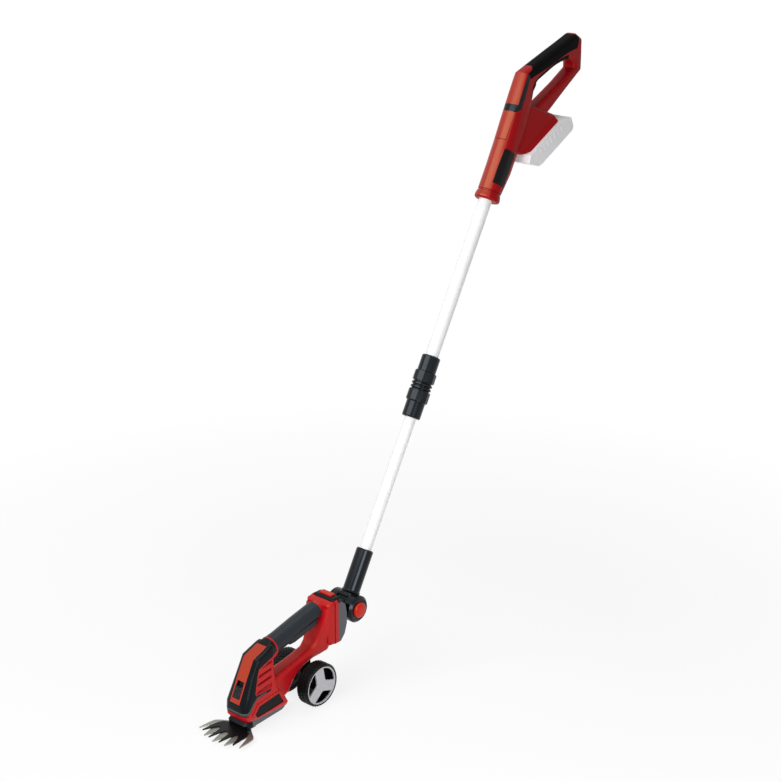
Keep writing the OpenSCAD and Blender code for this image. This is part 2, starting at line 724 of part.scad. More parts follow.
module adapter_cover() color("#55585c") at_head() difference() {
    front = adapter_front + 0.7;
    back = adapter_back + 6;
    side_prism([[front, cover_low], [front, cover_high], [back - 11, cover_high],
        [back - 4, cover_high - 6], [back, cover_high - 25], [back, cover_low + 31],
        [back - 6, cover_low + 12], [back - 16, cover_low + 1]], -cover_hw, cover_hw);
    wide_block(adapter_hw + seat_gap, [0, adapter_low - seat_gap], [adapter_back + seat_gap, beyond]);
    lug(seat_gap);
}

module adapter_latch() color("#c8291c") at_head() wide_block(latch_size[0] / 2,
    [latch_y - latch_size[1] / 2, latch_low + latch_travel + slide_gap],
    [latch_y + latch_size[1] / 2, ledge_z + ledge_h + latch_travel + 0.5]);

// Tilt joint and pole socket, along the pole from the pivot
cheek_in = lug_w / 2 + slide_gap;
cheek_r = cheek_d / 2;
button_floor = cheek_span / 2 - 7;
button_travel = 3;
button_rise = 5.8;
tube_seat = 38;
socket_r = socket_d / 2;
socket_lip = 24;

module cheek() rotate([0, 90, 0]) rotate_extrude() polygon([
    [0, cheek_in], [cheek_r - 1.5, cheek_in], [cheek_r, cheek_in + 1.5],
    [cheek_r, cheek_span / 2 - 4], [cheek_r - 4, cheek_span / 2], [0, cheek_span / 2]]);

// The yoke draws the two cheeks together below the socket's tube
module yoke() difference() {
    loft([
        [[-18, 8], [18, 8], cheek_span / 2 - 1, 8],
        [[-17, 16], [17, 16], cheek_span / 2 - 5, 11],
        [[-15.5, socket_lip - 2], [15.5, socket_lip - 2], socket_r + 2, 13],
        [[-14, socket_lip + 1], [14, socket_lip + 1], socket_r - 2, 13]]);
    cross_rod(lug_d / 2 + slide_gap, -cheek_in, cheek_in);
    wide_block(cheek_in, [-beyond, -beyond], [beyond, lug_rise + slide_gap]);
}

module pole_socket() color(black) at_pole() difference() {
    union() {
        cheek();
        mirror([1, 0, 0]) cheek();
        yoke();
        rotate_extrude() polygon([
            [0, socket_lip], [socket_r + 0.8, socket_lip], [socket_r + 1.5, socket_lip + 1.5],
            [socket_r + 0.8, socket_lip + 3.5], [socket_r, socket_lip + 4.5],
            [socket_r, socket_top - 2], [socket_r - 2, socket_top], [0, socket_top]]);
    }
    cross_rod(pivot_pin_d / 2 + seat_gap, -button_floor + 2, button_floor - 2);
    cross_rod(button_d / 2 + slide_gap, button_floor, cheek_span);
    cross_rod(button_d / 2 + slide_gap, -cheek_span, -button_floor);
    translate([0, 0, tube_seat]) cylinder(r = lower_tube_d / 2 + seat_gap, h = beyond);
}

module pivot_pin() color("silver") at_pole()
    cross_rod(pivot_pin_d / 2, -button_floor + 2.2, button_floor - 2.2);

module pivot_button() {
    low = button_floor + button_travel + 0.5;
    high = cheek_span / 2 + button_rise;
    edge = 3;
    rotate([0, 90, 0]) rotate_extrude() polygon(concat(
        [[0, low], [button_d / 2, low]],
        [for (t = [0:15:90]) [button_d / 2 - edge + edge * cos(t), high - edge - 0.8 + edge * sin(t)]],
        [[0, high]]));
}

module left_pivot_button() color("#c8291c") at_pole() pivot_button();
module right_pivot_button() color("#c8291c") at_pole() mirror([1, 0, 0]) pivot_button();

// Telescopic tubes and the twist clamp
lower_tube_top = clamp_bottom + 170;
upper_tube_bottom = clamp_bottom + 12;
tube_in_handle = 105;
upper_bore_r = lower_tube_d / 2 + 0.1;

module tube(r_out, r_in, from, to) translate([0, 0, from]) difference() {
    cylinder(r = r_out, h = to - from);
    translate([0, 0, -1]) cylinder(r = r_in, h = to - from + 2);
}

module lower_tube() color("whitesmoke") at_pole()
    tube(lower_tube_d / 2, lower_tube_d / 2 - lower_tube_wall, tube_seat, lower_tube_top);

module upper_tube() color("whitesmoke") at_pole()
    tube(upper_tube_d / 2, upper_bore_r, upper_tube_bottom, handle_start + tube_in_handle);

clamp_r = upper_tube_d / 2 + 5;
clamp_collar_r = clamp_r + 3.3;
clamp_length = 119;
// Collars of the nut and the sleeve, with the rings between them; the plain ends take up the rest
nut_collar_h = 22.8;
sleeve_collar_h = 20;
ring_stack_h = 16;
ring_gap = 0.2;
clamp_sleeve_h = (clamp_length - nut_collar_h - ring_stack_h - ring_gap - sleeve_collar_h) / 2;
rings_start = clamp_sleeve_h + nut_collar_h;

// One half of the clamp from its plain end: a plain sleeve that steps out to a faceted collar
module clamp_half(collar_h) {
    top = clamp_sleeve_h + collar_h;
    inner_r = clamp_collar_r - 1.2;
    rotate_extrude() polygon([
        [0, 0], [clamp_r - 1.5, 0], [clamp_r, 2], [clamp_r, clamp_sleeve_h],
        [inner_r, clamp_sleeve_h + 1], [inner_r, top], [0, top]]);
    translate([0, 0, clamp_sleeve_h + 2]) cylinder(r = clamp_collar_r, h = collar_h - 3, $fn = 12);
}

module clamp_nut() color(black) at_pole() translate([0, 0, clamp_bottom]) difference() {
    clamp_half(nut_collar_h - slide_gap);
    translate([0, 0, -1]) cylinder(r = lower_tube_d / 2 + run_gap + 0.03, h = beyond);
    translate([0, 0, upper_tube_bottom - clamp_bottom - slide_gap])
        cylinder(r = upper_tube_d / 2 + run_gap, h = beyond);
}

module clamp_rings() color(black) at_pole() translate([0, 0, clamp_bottom + rings_start]) {
    bore_r = upper_tube_d / 2 + seat_gap;
    low_r = clamp_r - 0.5;
    high_r = clamp_r + 2;
    rotate_extrude() polygon([
        [bore_r, 0], [low_r, 0], [low_r, 1.5], [high_r, 2.5], [high_r, 6], [low_r, 7],
        [low_r, 8.5], [high_r, 9.5], [high_r, 13], [low_r, 14], [low_r, ring_stack_h], [bore_r, ring_stack_h]]);
}

module clamp_sleeve() color(black) at_pole()
    translate([0, 0, clamp_bottom + clamp_length]) mirror([0, 0, 1]) difference() {
        clamp_half(sleeve_collar_h);
        translate([0, 0, -1]) cylinder(r = upper_tube_d / 2 + seat_gap, h = beyond);
    }

// Handle, in [v, u]: u along the pole from the handle's lower end, v towards the rear.
// One ring of sections runs up the neck, over the grip, round the back and down the lower bar.
neck_start = 18;
neck_front = -19.5;
neck_back = 25;
loop_sections = [
    [[neck_front, neck_start], [neck_back, neck_start], neck_hw, 20],
    [[neck_front, 62], [32, 62], neck_hw, 20],
    [[-21, 112], [32, 112], neck_hw, 20],
    [[-23, 163], [28, 163], neck_hw - 1, 17],
    [[-24.5, 202], [20, 200], loop_hw + 2.5, 14],
    [[-26, 230], [14, 226], loop_hw + 1, 12],
    [[-26.5, 243], [14, 236], loop_hw + 0.5, 12],
    [[-8, 266], [18, 246], loop_hw + 0.5, 12],
    [[32, 313], [52, 290], loop_hw + 0.5, 12],
    [[66, 352], [74, 311], loop_hw, 12],
    [[84, 372], [84, 318], loop_hw, 10],
    [[102, 372], [96, 320], loop_hw, 10],
    [[120, 346], [106, 318], loop_hw - 0.5, 10],
    [[135, 321], [108.5, 312], loop_hw - 1, 9],
    [[106, 262], [85, 272.5], loop_hw - 1.5, 8],
    [[83, 215], [53, 224.5], loop_hw - 1.5, 8],
    [[72, 196], [36, 199.5], loop_hw - 1.5, 8]];
// The foot spreads from inside the neck to the plate that the battery slides on
foot_top = [97, 202];
foot_bottom = [42, 114];
foot_sections = [
    [[16, 200], [0, 97], 14, 8],
    [foot_top + [-7, 8], foot_bottom + [-8, -9], foot_hw - 7, 8],
    [foot_top, foot_bottom, foot_hw, 6]];
foot_angle = atan2(foot_top[1] - foot_bottom[1], foot_top[0] - foot_bottom[0]);
foot_middle = (foot_top + foot_bottom) / 2;
foot_length = norm(foot_top - foot_bottom);

// Frame of the battery: y along its slide, z up into the foot
module in_foot() translate([0, foot_middle[0], foot_middle[1]]) rotate([foot_angle, 0, 0]) children();
module at_battery() at_handle() in_foot() children();

rail_hw = 16;
rail_neck_hw = 12;
rail_t = 5;
rail_y = [-foot_length / 2 + 8, foot_length / 2 - 4];

module battery_slot() in_foot() {
    start = rail_y[0] - slide_gap;
    wide_block(rail_hw + slide_gap, [start, rail_t - slide_gap], [beyond / 4, 2 * rail_t + slide_gap]);
    wide_block(rail_neck_hw + slide_gap, [start, -beyond / 8], [beyond / 4, rail_t]);
}

handle_grip_outline = [[-16, 272], [-9.5, 263.5], [-12.5, 255], [-20.5, 243.5], [-11.5, 236.5],
    [-3, 246], [30, 279], [72, 327], [96, 348], [92, 368], [78, 369], [-beyond, 368], [-beyond, 282]];
handle_band_outline = [[-beyond, 168], [-18.5, 168], [-10.5, 178], [-12.3, 236], [-20.8, 243],
    [-19.3, 182], [-beyond, 182]];
// Groove round the panel on the neck's front
panel_groove = [[-beyond, 113.5], [-16.5, 113.5], [-18, 168], [-19, 168], [-17.5, 114.7],
    [-beyond, 114.7]];
panel_depth = 0.8;

module handle_loop(inset = 0) loft(loop_sections, inset);

module handle_trim_zone() {
    difference() {
        union() {
            side_prism(handle_grip_outline, -beyond, beyond);
            side_prism(handle_band_outline, -beyond, beyond);
        }
        handle_loop(skin);
    }
    difference() {
        side_prism(panel_groove, -beyond, beyond);
        handle_loop(panel_depth);
    }
}

handle_trigger_hw = 10;
handle_trigger_u = [206, 242];
handle_trigger_v = [4, 22];
handle_trigger_travel = 4;
// Finger face of the trigger: [share of its height, way back from its furthest point]
handle_trigger_face = [[0, 4], [0.12, 1], [0.3, 1.2], [0.55, 1.8], [0.8, 0.4], [0.93, 0], [1, 2.5]];
handle_badge_outline = [[-15, 31], [-15, 99], [12.4, 99], [12.4, 31]];
handle_badge_t = 1.2;

module handle_switch_room(grow) wide_block(8 + grow,
    [-17 - grow, handle_trigger_u[0] + 2 - grow],
    [handle_trigger_v[0] - handle_trigger_travel - 1 + grow, handle_trigger_u[1] - 2 + grow]);

module handle_contact_room(grow) in_foot() wide_block(10 + grow,
    [-20 - grow, 2 * rail_t + slide_gap + 0.2 - grow], [20 + grow, 2 * rail_t + 12 + grow]);

module handle_shell() difference() {
    union() {
        handle_loop();
        loft(foot_sections);
    }
    handle_trim_zone();
    difference() {
        side_prism(handle_badge_outline, 1, beyond);
        handle_loop(handle_badge_t + seat_gap);
    }
    battery_slot();
    cylinder(r = upper_tube_d / 2 + seat_gap, h = tube_in_handle + 0.3);
    wide_block(handle_trigger_hw + slide_gap,
        [handle_trigger_v[0] - handle_trigger_travel - 1, handle_trigger_u[0] - slide_gap],
        [handle_trigger_v[1] + 5, handle_trigger_u[1] + slide_gap]);
    handle_switch_room(0.1);
    handle_contact_room(0.1);
}

module handle_shell_left() color(red) at_handle() intersection() {
    handle_shell();
    left_half();
}

module handle_shell_right() color(red) at_handle() intersection() {
    handle_shell();
    right_half();
}

module handle_grip() color(black) at_handle() difference() {
    intersection() {
        handle_loop();
        side_prism(handle_grip_outline, -beyond, beyond);
    }
    handle_loop(skin - seat_gap);
}

module handle_band() color(black) at_handle() difference() {
    intersection() {
        handle_loop();
        side_prism(handle_band_outline, -beyond, beyond);
    }
    handle_loop(skin - seat_gap);
    side_prism(handle_grip_outline, -beyond, beyond);
}

module handle_badge() color(black) at_handle() difference() {
    intersection() {
        handle_loop(0.3);
        side_prism(handle_badge_outline, 1, beyond);
    }
    handle_loop(handle_badge_t);
}

function collar_section(u, grow) =
    [[neck_front - grow, u], [neck_back + grow, u], neck_hw + grow, 20 + grow];

module handle_collar() color(red) at_handle() difference() {
    top = neck_start - seat_gap;
    loft([collar_section(0, -0.8), collar_section(2, 1.7), collar_section(6, 2), collar_section(14, 0.4),
        collar_section(15, -1.2), collar_section(top, -1.2)]);
    translate([0, 0, -1]) cylinder(r = upper_tube_d / 2 + seat_gap, h = neck_start + 2);
}

module handle_switch() color("black") at_handle() handle_switch_room(0);

module handle_contacts() color("goldenrod") at_handle() handle_contact_room(0);

module handle_trigger() color(black) at_handle() loft([for (f = handle_trigger_face)
    let (u = handle_trigger_u[0] + f[0] * (handle_trigger_u[1] - handle_trigger_u[0]))
    [[handle_trigger_v[1] - f[1], u], [handle_trigger_v[0], u], handle_trigger_hw, 4, 1]]);

// Battery, in [y, z] of its own frame
battery_front = -foot_length / 2 - 6;
battery_back = foot_length / 2 + 27;
battery_split = -22;
battery_outline = [
    [battery_front, -slide_gap], [battery_front - 11, -12], [battery_front + 12, -battery_h + 2],
    [battery_front + 22, -battery_h], [battery_back - 6, -battery_h], [battery_back, -battery_h + 6],
    [battery_back, -11], [battery_back - 25, -slide_gap]];
cell_rows = 5;
cell_start = 24;

module battery_body() side_prism(battery_outline, -battery_hw, battery_hw);

module cell_room(grow) for (i = [0:cell_rows - 1]) {
    reach = battery_hw - 4 + grow;
    y = battery_front + cell_start + i * (cell_d + 3);
    cross_rod(cell_d / 2 + grow, -reach, reach, y, battery_split);
}

latch_hw = 9;
latch_z = [-20, -12];

module battery_latch_room(grow) wide_block(latch_hw + grow,
    [battery_back - 8 - grow, latch_z[0] - grow], [beyond, latch_z[1] + grow]);

module battery_case() color("#c9c9c9") at_battery() difference() {
    union() {
        intersection() {
            battery_body();
            wide_block(beyond, [-beyond, battery_split], [beyond, beyond]);
        }
        wide_block(rail_neck_hw, [rail_y[0], -2], [rail_y[1], rail_t + 1]);
        wide_block(rail_hw, [rail_y[0], rail_t], [rail_y[1], 2 * rail_t]);
    }
    cell_room(seat_gap);
    battery_latch_room(slide_gap);
}

module battery_base() color("#b9b9b9") at_battery() difference() {
    intersection() {
        battery_body();
        wide_block(beyond, [-beyond, -beyond], [beyond, battery_split - seat_gap]);
    }
    cell_room(seat_gap);
}

module battery_cells() color("steelblue") at_battery() cell_room(0);

module battery_latch() color("#a8a8a8") at_battery()
    wide_block(latch_hw, [battery_back - 5, latch_z[0]], [battery_back + 2.5, latch_z[1]]);

handle_shell_left();
handle_shell_right();
handle_grip();
handle_band();
handle_badge();
handle_collar();
handle_switch();
handle_contacts();
upper_tube();
clamp_sleeve();
clamp_rings();
handle_trigger();
battery_case();
battery_base();
battery_cells();
battery_latch();
clamp_nut();
lower_tube();
pole_socket();
pivot_pin();
left_pivot_button();
right_pivot_button();
adapter_body();
adapter_cover();
adapter_latch();
head_shell_left();
head_shell_right();
head_grip();
nose_hood();
nose_strip();
head_badge();
base_plate();
head_motor();
gear_plate();
head_switch();
head_contacts();
wheel_bracket();
wheel_axle();
blade_holder();
comb_blade();
blade_pin();
head_trigger();
release_slider();
left_wheel();
left_wheel_cover();
right_wheel();
right_wheel_cover();
cutter_blade();
motor_pinion();
crank_gear();
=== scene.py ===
"""Looks of cordless grass shears on a wheeled telescopic pole, built around their CAD frame."""

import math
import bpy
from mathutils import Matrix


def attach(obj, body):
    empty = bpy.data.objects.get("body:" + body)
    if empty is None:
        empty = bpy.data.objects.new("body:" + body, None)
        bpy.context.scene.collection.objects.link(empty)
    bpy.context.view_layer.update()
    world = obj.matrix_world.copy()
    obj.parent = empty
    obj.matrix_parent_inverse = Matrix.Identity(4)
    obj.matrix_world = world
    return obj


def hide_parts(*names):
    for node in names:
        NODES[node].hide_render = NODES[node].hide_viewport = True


bl_info = {
    "name": "Cordless grass shears",
    "version": (1, 0, 0),
    "blender": (4, 5, 0),
    "location": "View3D > Sidebar > Shears",
    "description": "Finishes and small parts of cordless grass shears on a wheeled pole",
    "category": "Object",
}

from itertools import product

import bmesh
import bpy
from mathutils import Matrix, Vector
from mathutils.bvhtree import BVHTree

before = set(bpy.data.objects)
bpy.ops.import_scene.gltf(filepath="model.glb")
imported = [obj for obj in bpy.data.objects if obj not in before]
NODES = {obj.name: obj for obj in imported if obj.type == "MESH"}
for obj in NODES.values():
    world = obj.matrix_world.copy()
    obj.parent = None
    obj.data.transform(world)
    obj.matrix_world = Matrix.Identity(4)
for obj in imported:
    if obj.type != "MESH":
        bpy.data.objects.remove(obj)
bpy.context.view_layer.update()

MM = 0.001
# Frames of the machine: the head's datum, the tilt pivot with the pole's lean, the handle
# and the battery
HEAD = Matrix.Translation((0, 3.5 * MM, 38.3 * MM))
POLE = (Matrix.Translation((0, 118.5 * MM, 137.7 * MM))
        @ Matrix.Rotation(math.radians(-29.6), 4, "X"))
HANDLE = POLE @ Matrix.Translation((0, 0, 788 * MM))
BATTERY = (HANDLE @ Matrix.Translation((0, 69.5 * MM, 158 * MM))
           @ Matrix.Rotation(math.atan2(88, 55), 4, "X"))
# Slope of the nose, with y up the slope and z out of it
SLOPE = (HEAD @ Matrix.Translation((0, -168.5 * MM, 18 * MM))
         @ Matrix.Rotation(math.atan2(73.5, 36.5), 4, "X"))

# The machine's left is +X
SIDES = (("left", 1), ("right", -1))
# Radius of a wheel and how far its inner face stands from the middle plane, in mm
WHEEL_RADIUS = 40
WHEEL_INNER = 24
# Vertices nearer than this are one, in metres
WELD = 1e-6
# How far outside a surface the rays start that look for it, in metres
RAY_START = 0.2
# Radius of the hole that a turned profile leaves along its axis, in mm
NEAR_AXIS = 0.01
# Faces of a block whose corners are listed low to high, z first
BLOCK_FACES = ((0, 1, 3, 2), (4, 6, 7, 5), (0, 4, 5, 1), (2, 3, 7, 6), (0, 2, 6, 4), (1, 5, 7, 3))
WHITE = (1, 1, 1, 1)
FINISHES = {}


def linear(code):
    """Linear colour of an sRGB hex value."""
    parts = [int(code[i:i + 2], 16) / 255 for i in (1, 3, 5)]
    return [c / 12.92 if c <= 0.04045 else ((c + 0.055) / 1.055) ** 2.4 for c in parts] + [1.0]


def add(tree, kind, sockets=None, **settings):
    """Adds a node with its settings, and sets or links its sockets."""
    node = tree.nodes.new(kind)
    for name, value in settings.items():
        setattr(node, name, value)
    for key, value in (sockets or {}).items():
        if isinstance(value, bpy.types.NodeSocket):
            tree.links.new(value, node.inputs[key])
        else:
            node.inputs[key].default_value = value
    return node


def colour_property(name, description, code):
    """A colour that a user would change, from its sRGB hex value."""
    return bpy.props.FloatVectorProperty(
        name=name, description=description, subtype="COLOR", size=4, min=0, max=1,
        default=linear(code))


def size_property(name, description, millimetres, low, high):
    """A length that a user would change, kept in metres."""
    return bpy.props.FloatProperty(
        name=name, description=description, subtype="DISTANCE", unit="LENGTH",
        default=millimetres * MM, min=low * MM, max=high * MM)


class ShearsColours(bpy.types.PropertyGroup):
    """Colours of the mouldings, tubes and tyres."""

    housing: colour_property("Housing", "Red of the head's shells", "#B6101D")
    # Painted shade: the handle is the head's plastic, drawn in a deeper red because it is less lit
    handle: colour_property("Handle", "Deep red of the handle's shells", "#980A15")
    # Painted highlight: a lighter orange-red laid on the shells' bevels in place of the light that
    # their edges catch
    housing_edge_highlight: colour_property("Housing edges", "Red of the shells' polished edges", "#C42A22")
    highlight: colour_property("Highlight", "Warm tint of the red mouldings' shine", "#FFE0A8")
    cool: colour_property("Cool highlight", "Cool tint of the black mouldings' shine", "#DCE9F5")
    # Painted shade: the dark red laid in the grooves in place of their shadow
    groove: colour_property("Grooves", "Dark red at the bottom of the grooves", "#4A0810")
    strip: colour_property("Strip", "Orange-red of the strip on the nose", "#A83424")
    button: colour_property("Buttons", "Red of the press buttons", "#C4231B")
    black: colour_property("Black mouldings", "Black of the hood, socket and clamp", "#060708")
    # Painted highlight: grey laid on the black parts' bevels and the hood's lower rim in place of
    # the light they catch; the tilt ticks are drawn in this grey too
    black_edge: colour_property("Black edges", "Grey of the black mouldings' edges", "#4A4E50")
    grip: colour_property("Soft grip", "Charcoal of the head's grip and trigger", "#24262A")
    handle_grip: colour_property("Handle grip", "Black of the handle's grip", "#050506")
    plate: colour_property("Name plates", "Black of the bare name plates", "#060607")
    grey: colour_property("Grey mouldings", "Dark grey of the sole and rear cover", "#5C5D63")
    wheel: colour_property("Wheel covers", "Light grey of the wheel covers", "#BABABE")
    tyre: colour_property("Tyres", "Black of the tyres", "#0A0A0B")
    tube: colour_property("Tubes", "White of the powder coat on the tubes", "#EDEDEE")
    battery: colour_property("Battery", "Pale grey of the battery's case", "#F6F6F8")


class ShearsSizes(bpy.types.PropertyGroup):
    """Sizes of the small parts and of the rounding on edges."""

    edge: size_property("Edge radius", "Rounding of the shells' edges", 0.9, 0.1, 2)
    fine_edge: size_property("Fine edge radius", "Rounding of small mouldings", 0.5, 0.1, 1)
    ground_edge: size_property("Ground edge", "Width of the blades' ground edges", 1.3, 0.2, 2)
    tread: size_property("Tread depth", "Depth of the tyre's tread", 1.3, 0.5, 2)
    tread_blocks: bpy.props.IntProperty(
        name="Tread blocks", description="Tread blocks in one row round a tyre",
        default=36, min=12, max=72)
    screw: size_property("Screw head", "Diameter of the housing screws' heads", 5.5, 3, 8)


class ShearsStage(bpy.types.PropertyGroup):
    """Camera, lamps and background."""

    lens: bpy.props.FloatProperty(
        name="Lens", description="Focal length on a 36 mm sensor", unit="CAMERA",
        default=73.75, min=20, max=200)
    key: bpy.props.FloatProperty(
        name="Key lamp", description="Power of the wide lamp in front", unit="POWER",
        default=58, min=0)
    fill: bpy.props.FloatProperty(
        name="Fill lamp", description="Power of the low lamp on the left", unit="POWER",
        default=13, min=0)
    top: bpy.props.FloatProperty(
        name="Top lamp", description="Power of the lamp overhead", unit="POWER",
        default=12, min=0)
    ambient: bpy.props.FloatProperty(
        name="Ambient", description="Strength of the even light from all round",
        default=0.16, min=0, max=1)


def colours():
    """The colours that a user would change."""
    return bpy.context.scene.shears_colours


def sizes():
    """The sizes that a user would change."""
    return bpy.context.scene.shears_sizes


def blank_material(name):
    """A new material and its empty node tree."""
    material = bpy.data.materials.new(name)
    material.use_nodes = True
    material.node_tree.nodes.clear()
    return material, material.node_tree


def moulded_plastic(name, colour, roughness, grain_mm, grain_depth_mm, specular, mottle,
                    tint=WHITE):
    """Injection-moulded plastic: an even colour with a faint flow mottle, and the fine grain that
    spark erosion leaves in the mould, which breaks up the highlights."""
    flow_mm, gloss_spread = 30, 0.06
    material, tree = blank_material(name)
    place = add(tree, "ShaderNodeTexCoord").outputs["Object"]
    flow = add(tree, "ShaderNodeTexNoise", {
        "Vector": place, "Scale": 1 / (flow_mm * MM), "Detail": 3.0})
    # A mould's real grain is under 0.1 mm, too fine to show, so it is drawn as coarse as grain_mm
    grain = add(tree, "ShaderNodeTexNoise", {
        "Vector": place, "Scale": 1 / (grain_mm * MM), "Detail": 2.0})
    darker = [c * (1 - 2 * mottle) for c in colour[:3]] + [1]
    tone = add(tree, "ShaderNodeMix", {0: flow.outputs["Fac"], 6: darker, 7: colour},
               data_type="RGBA")
    gloss = add(tree, "ShaderNodeMapRange", {
        "Value": grain.outputs["Fac"],
        "To Min": roughness - gloss_spread, "To Max": roughness + gloss_spread})
    bump = add(tree, "ShaderNodeBump", {
        "Height": grain.outputs["Fac"], "Strength": 0.5, "Distance": grain_depth_mm * MM})
    shader = add(tree, "ShaderNodeBsdfPrincipled", {
        "Base Color": tone.outputs[2], "Roughness": gloss.outputs["Result"],
        "Normal": bump.outputs["Normal"], "IOR": 1.53, "Specular IOR Level": specular,
        "Specular Tint": tint})
    add(tree, "ShaderNodeOutputMaterial", {"Surface": shader.outputs["BSDF"]})
    return material


def ground_metal(name, colour, roughness, scratch_mm, along):
    """Ground steel or turned brass: a metal with fine scratches that run along one axis, so that
    its highlights stretch across them."""
    stain_mm, stain_dark, gloss_spread, length = 18, 0.75, 0.1, 60
    material, tree = blank_material(name)
    place = add(tree, "ShaderNodeTexCoord").outputs["Object"]
    # The real scratches are under 0.1 mm wide, too fine to show, so they are drawn at scratch_mm
    stretch = [1 / (scratch_mm * MM)] * 3
    stretch[along] = 1 / (length * scratch_mm * MM)
    lines = add(tree, "ShaderNodeVectorMath", {0: place, 1: stretch}, operation="MULTIPLY")
    scratch = add(tree, "ShaderNodeTexNoise", {
        "Vector": lines.outputs["Vector"], "Scale": 1.0, "Detail": 3.0})
    stain = add(tree, "ShaderNodeTexNoise", {
        "Vector": place, "Scale": 1 / (stain_mm * MM), "Detail": 3.0})
    darker = [c * stain_dark for c in colour[:3]] + [1]
    tone = add(tree, "ShaderNodeMix", {0: stain.outputs["Fac"], 6: darker, 7: colour},
               data_type="RGBA")
    gloss = add(tree, "ShaderNodeMapRange", {
        "Value": scratch.outputs["Fac"],
        "To Min": roughness - gloss_spread, "To Max": roughness + gloss_spread})
    bump = add(tree, "ShaderNodeBump", {
        "Height": scratch.outputs["Fac"], "Strength": 0.35, "Distance": 0.03 * MM})
    shader = add(tree, "ShaderNodeBsdfPrincipled", {
        "Base Color": tone.outputs[2], "Metallic": 1.0, "Roughness": gloss.outputs["Result"],
        "Normal": bump.outputs["Normal"]})
    add(tree, "ShaderNodeOutputMaterial", {"Surface": shader.outputs["BSDF"]})
    return material


def finishes():
    """All finishes by name, made once."""
    if FINISHES:
        return FINISHES
    c = colours()
    FINISHES.update(
        # ABS from a finely eroded mould: satin red with soft, wide and warm highlights
        red=moulded_plastic(
            "abs_moulded_satin_red", c.housing, 0.38, 0.5, 0.02, 0.3, 0.06, c.highlight),
        # The handle's ABS, the head's plastic in a deeper red that is painted shade, dull on its
        # sides
        handle_red=moulded_plastic(
            "abs_moulded_red_painted_shade", c.handle, 0.42, 0.5, 0.02, 0.12, 0.06, c.highlight),
        # The handle's front, polished in the mould, in the same deeper red of painted shade: broad
        # tan highlights
        handle_front=moulded_plastic(
            "abs_polished_red_painted_shade", c.handle, 0.34, 0.5, 0.012, 0.62, 0.06, c.highlight),
        # Painted highlight on the shells' bevels: a lighter orange-red line in place of the light
        # that the edges catch
        red_edge=moulded_plastic(
            "abs_red_painted_edge_highlight", c.housing_edge_highlight, 0.3, 0.5, 0.02, 0.36, 0.04, c.highlight),
        # ABS with a smooth mould face: warm orange-red with a clear highlight
        strip=moulded_plastic(
            "abs_moulded_smooth_orange", c.strip, 0.36, 0.6, 0.015, 0.3, 0.06, c.highlight),
        # Painted shade at the bottom of the shells' grooves: a dull dark red that stands in for
        # their shadow
        groove=moulded_plastic(
            "abs_painted_groove_shade_red", c.groove, 0.65, 0.5, 0.04, 0.08, 0.1),
        # ABS with a smooth mould face: bright red with a small, clear highlight
        button=moulded_plastic(
            "abs_moulded_smooth_red", c.button, 0.28, 0.6, 0.015, 0.3, 0.05, c.highlight),
        # Glass-filled polyamide from a fine mould: deep black with broad, cool grey highlights
        black=moulded_plastic(
            "polyamide_moulded_satin_black", c.black, 0.3, 0.7, 0.008, 0.14, 0.1, c.cool),
        # The same polyamide from a polished mould: clear grey highlights on each facet
        gloss=moulded_plastic(
            "polyamide_polished_black", c.black, 0.2, 0.7, 0.006, 0.24, 0.08, c.cool),
        # Grey lines of painted highlight on the black parts' edges and chamfers, in place of the
        # light they catch; the tilt ticks take this grey too
        black_edge=moulded_plastic(
            "polyamide_grey_ticks_and_edge_highlight", c.black_edge, 0.4, 0.7, 0.01, 0.16, 0.05, c.cool),
        # Thermoplastic elastomer moulded over the shells: charcoal with a soft, dim sheen
        grip=moulded_plastic(
            "elastomer_overmoulded_charcoal", c.grip, 0.42, 0.9, 0.08, 0.2, 0.12, c.cool),
        # The handle's elastomer from a rougher mould: dead black that hardly shines
        handle_grip=moulded_plastic(
            "elastomer_overmoulded_black", c.handle_grip, 0.6, 0.9, 0.08, 0.03, 0.12),
        # Polycarbonate insert, polished and left bare: near black with sharp reflections
        plate=moulded_plastic(
            "polycarbonate_polished_plate", c.plate, 0.16, 0.8, 0.005, 0.12, 0.02),
        # Polypropylene from a coarse mould: dull dark grey
        grey=moulded_plastic("polypropylene_moulded_grey", c.grey, 0.45, 0.6, 0.03, 0.2, 0.08),
        # Polypropylene from a finer mould: pale grey with a soft sheen
        wheel=moulded_plastic(
            "polypropylene_moulded_pale_grey", c.wheel, 0.36, 0.6, 0.02, 0.3, 0.06),
        # Vulcanised rubber: dull black, a little dusty
        tyre=moulded_plastic("rubber_vulcanised_black", c.tyre, 0.42, 1.2, 0.06, 0.12, 0.15),
        # Powder coat on aluminium tube: clean white with the orange peel of the baked coat
        tube=moulded_plastic(
            "aluminium_powder_coated_white", c.tube, 0.3, 1.4, 0.01, 0.2, 0.01),
        # ABS from an eroded mould: even, pale and nearly matt
        battery=moulded_plastic(
            "abs_moulded_pale_grey", c.battery, 0.45, 0.5, 0.03, 0.4, 0.03),
        # Elastomer feet: matt white, a little greyer than the case
        battery_pad=moulded_plastic(
            "elastomer_moulded_white", c.tube, 0.5, 0.5, 0.03, 0.3, 0.02),
        # Spring steel ground along the teeth: pale, with soft streaks
        comb=ground_metal("spring_steel_ground_pale", linear("#9A9990"), 0.44, 0.5, 1),
        # The same steel honed along its edges: a brighter line round each tooth
        edge=ground_metal("spring_steel_honed_edge", linear("#B9B8AF"), 0.3, 0.4, 1),
        # Non-stick coating baked on steel: black with a low sheen
        cutter=moulded_plastic(
            "steel_coated_black", linear("#08090A"), 0.38, 0.5, 0.01, 0.14, 0.1),
        # Turned steel: grey and bright, with fine rings
        steel=ground_metal("steel_turned_bright", linear("#8F8E8A"), 0.3, 0.3, 0),
        # Stamped brass: plain yellow metal with faint roll marks
        brass=ground_metal("brass_stamped_plain", linear("#C8A45C"), 0.3, 0.3, 0),
        # PVC sleeve shrunk round the cells: glossy blue
        wrap=moulded_plastic(
            "pvc_shrink_wrap_blue", linear("#2F5C8A"), 0.3, 1.0, 0.01, 0.5, 0.05))
    return FINISHES


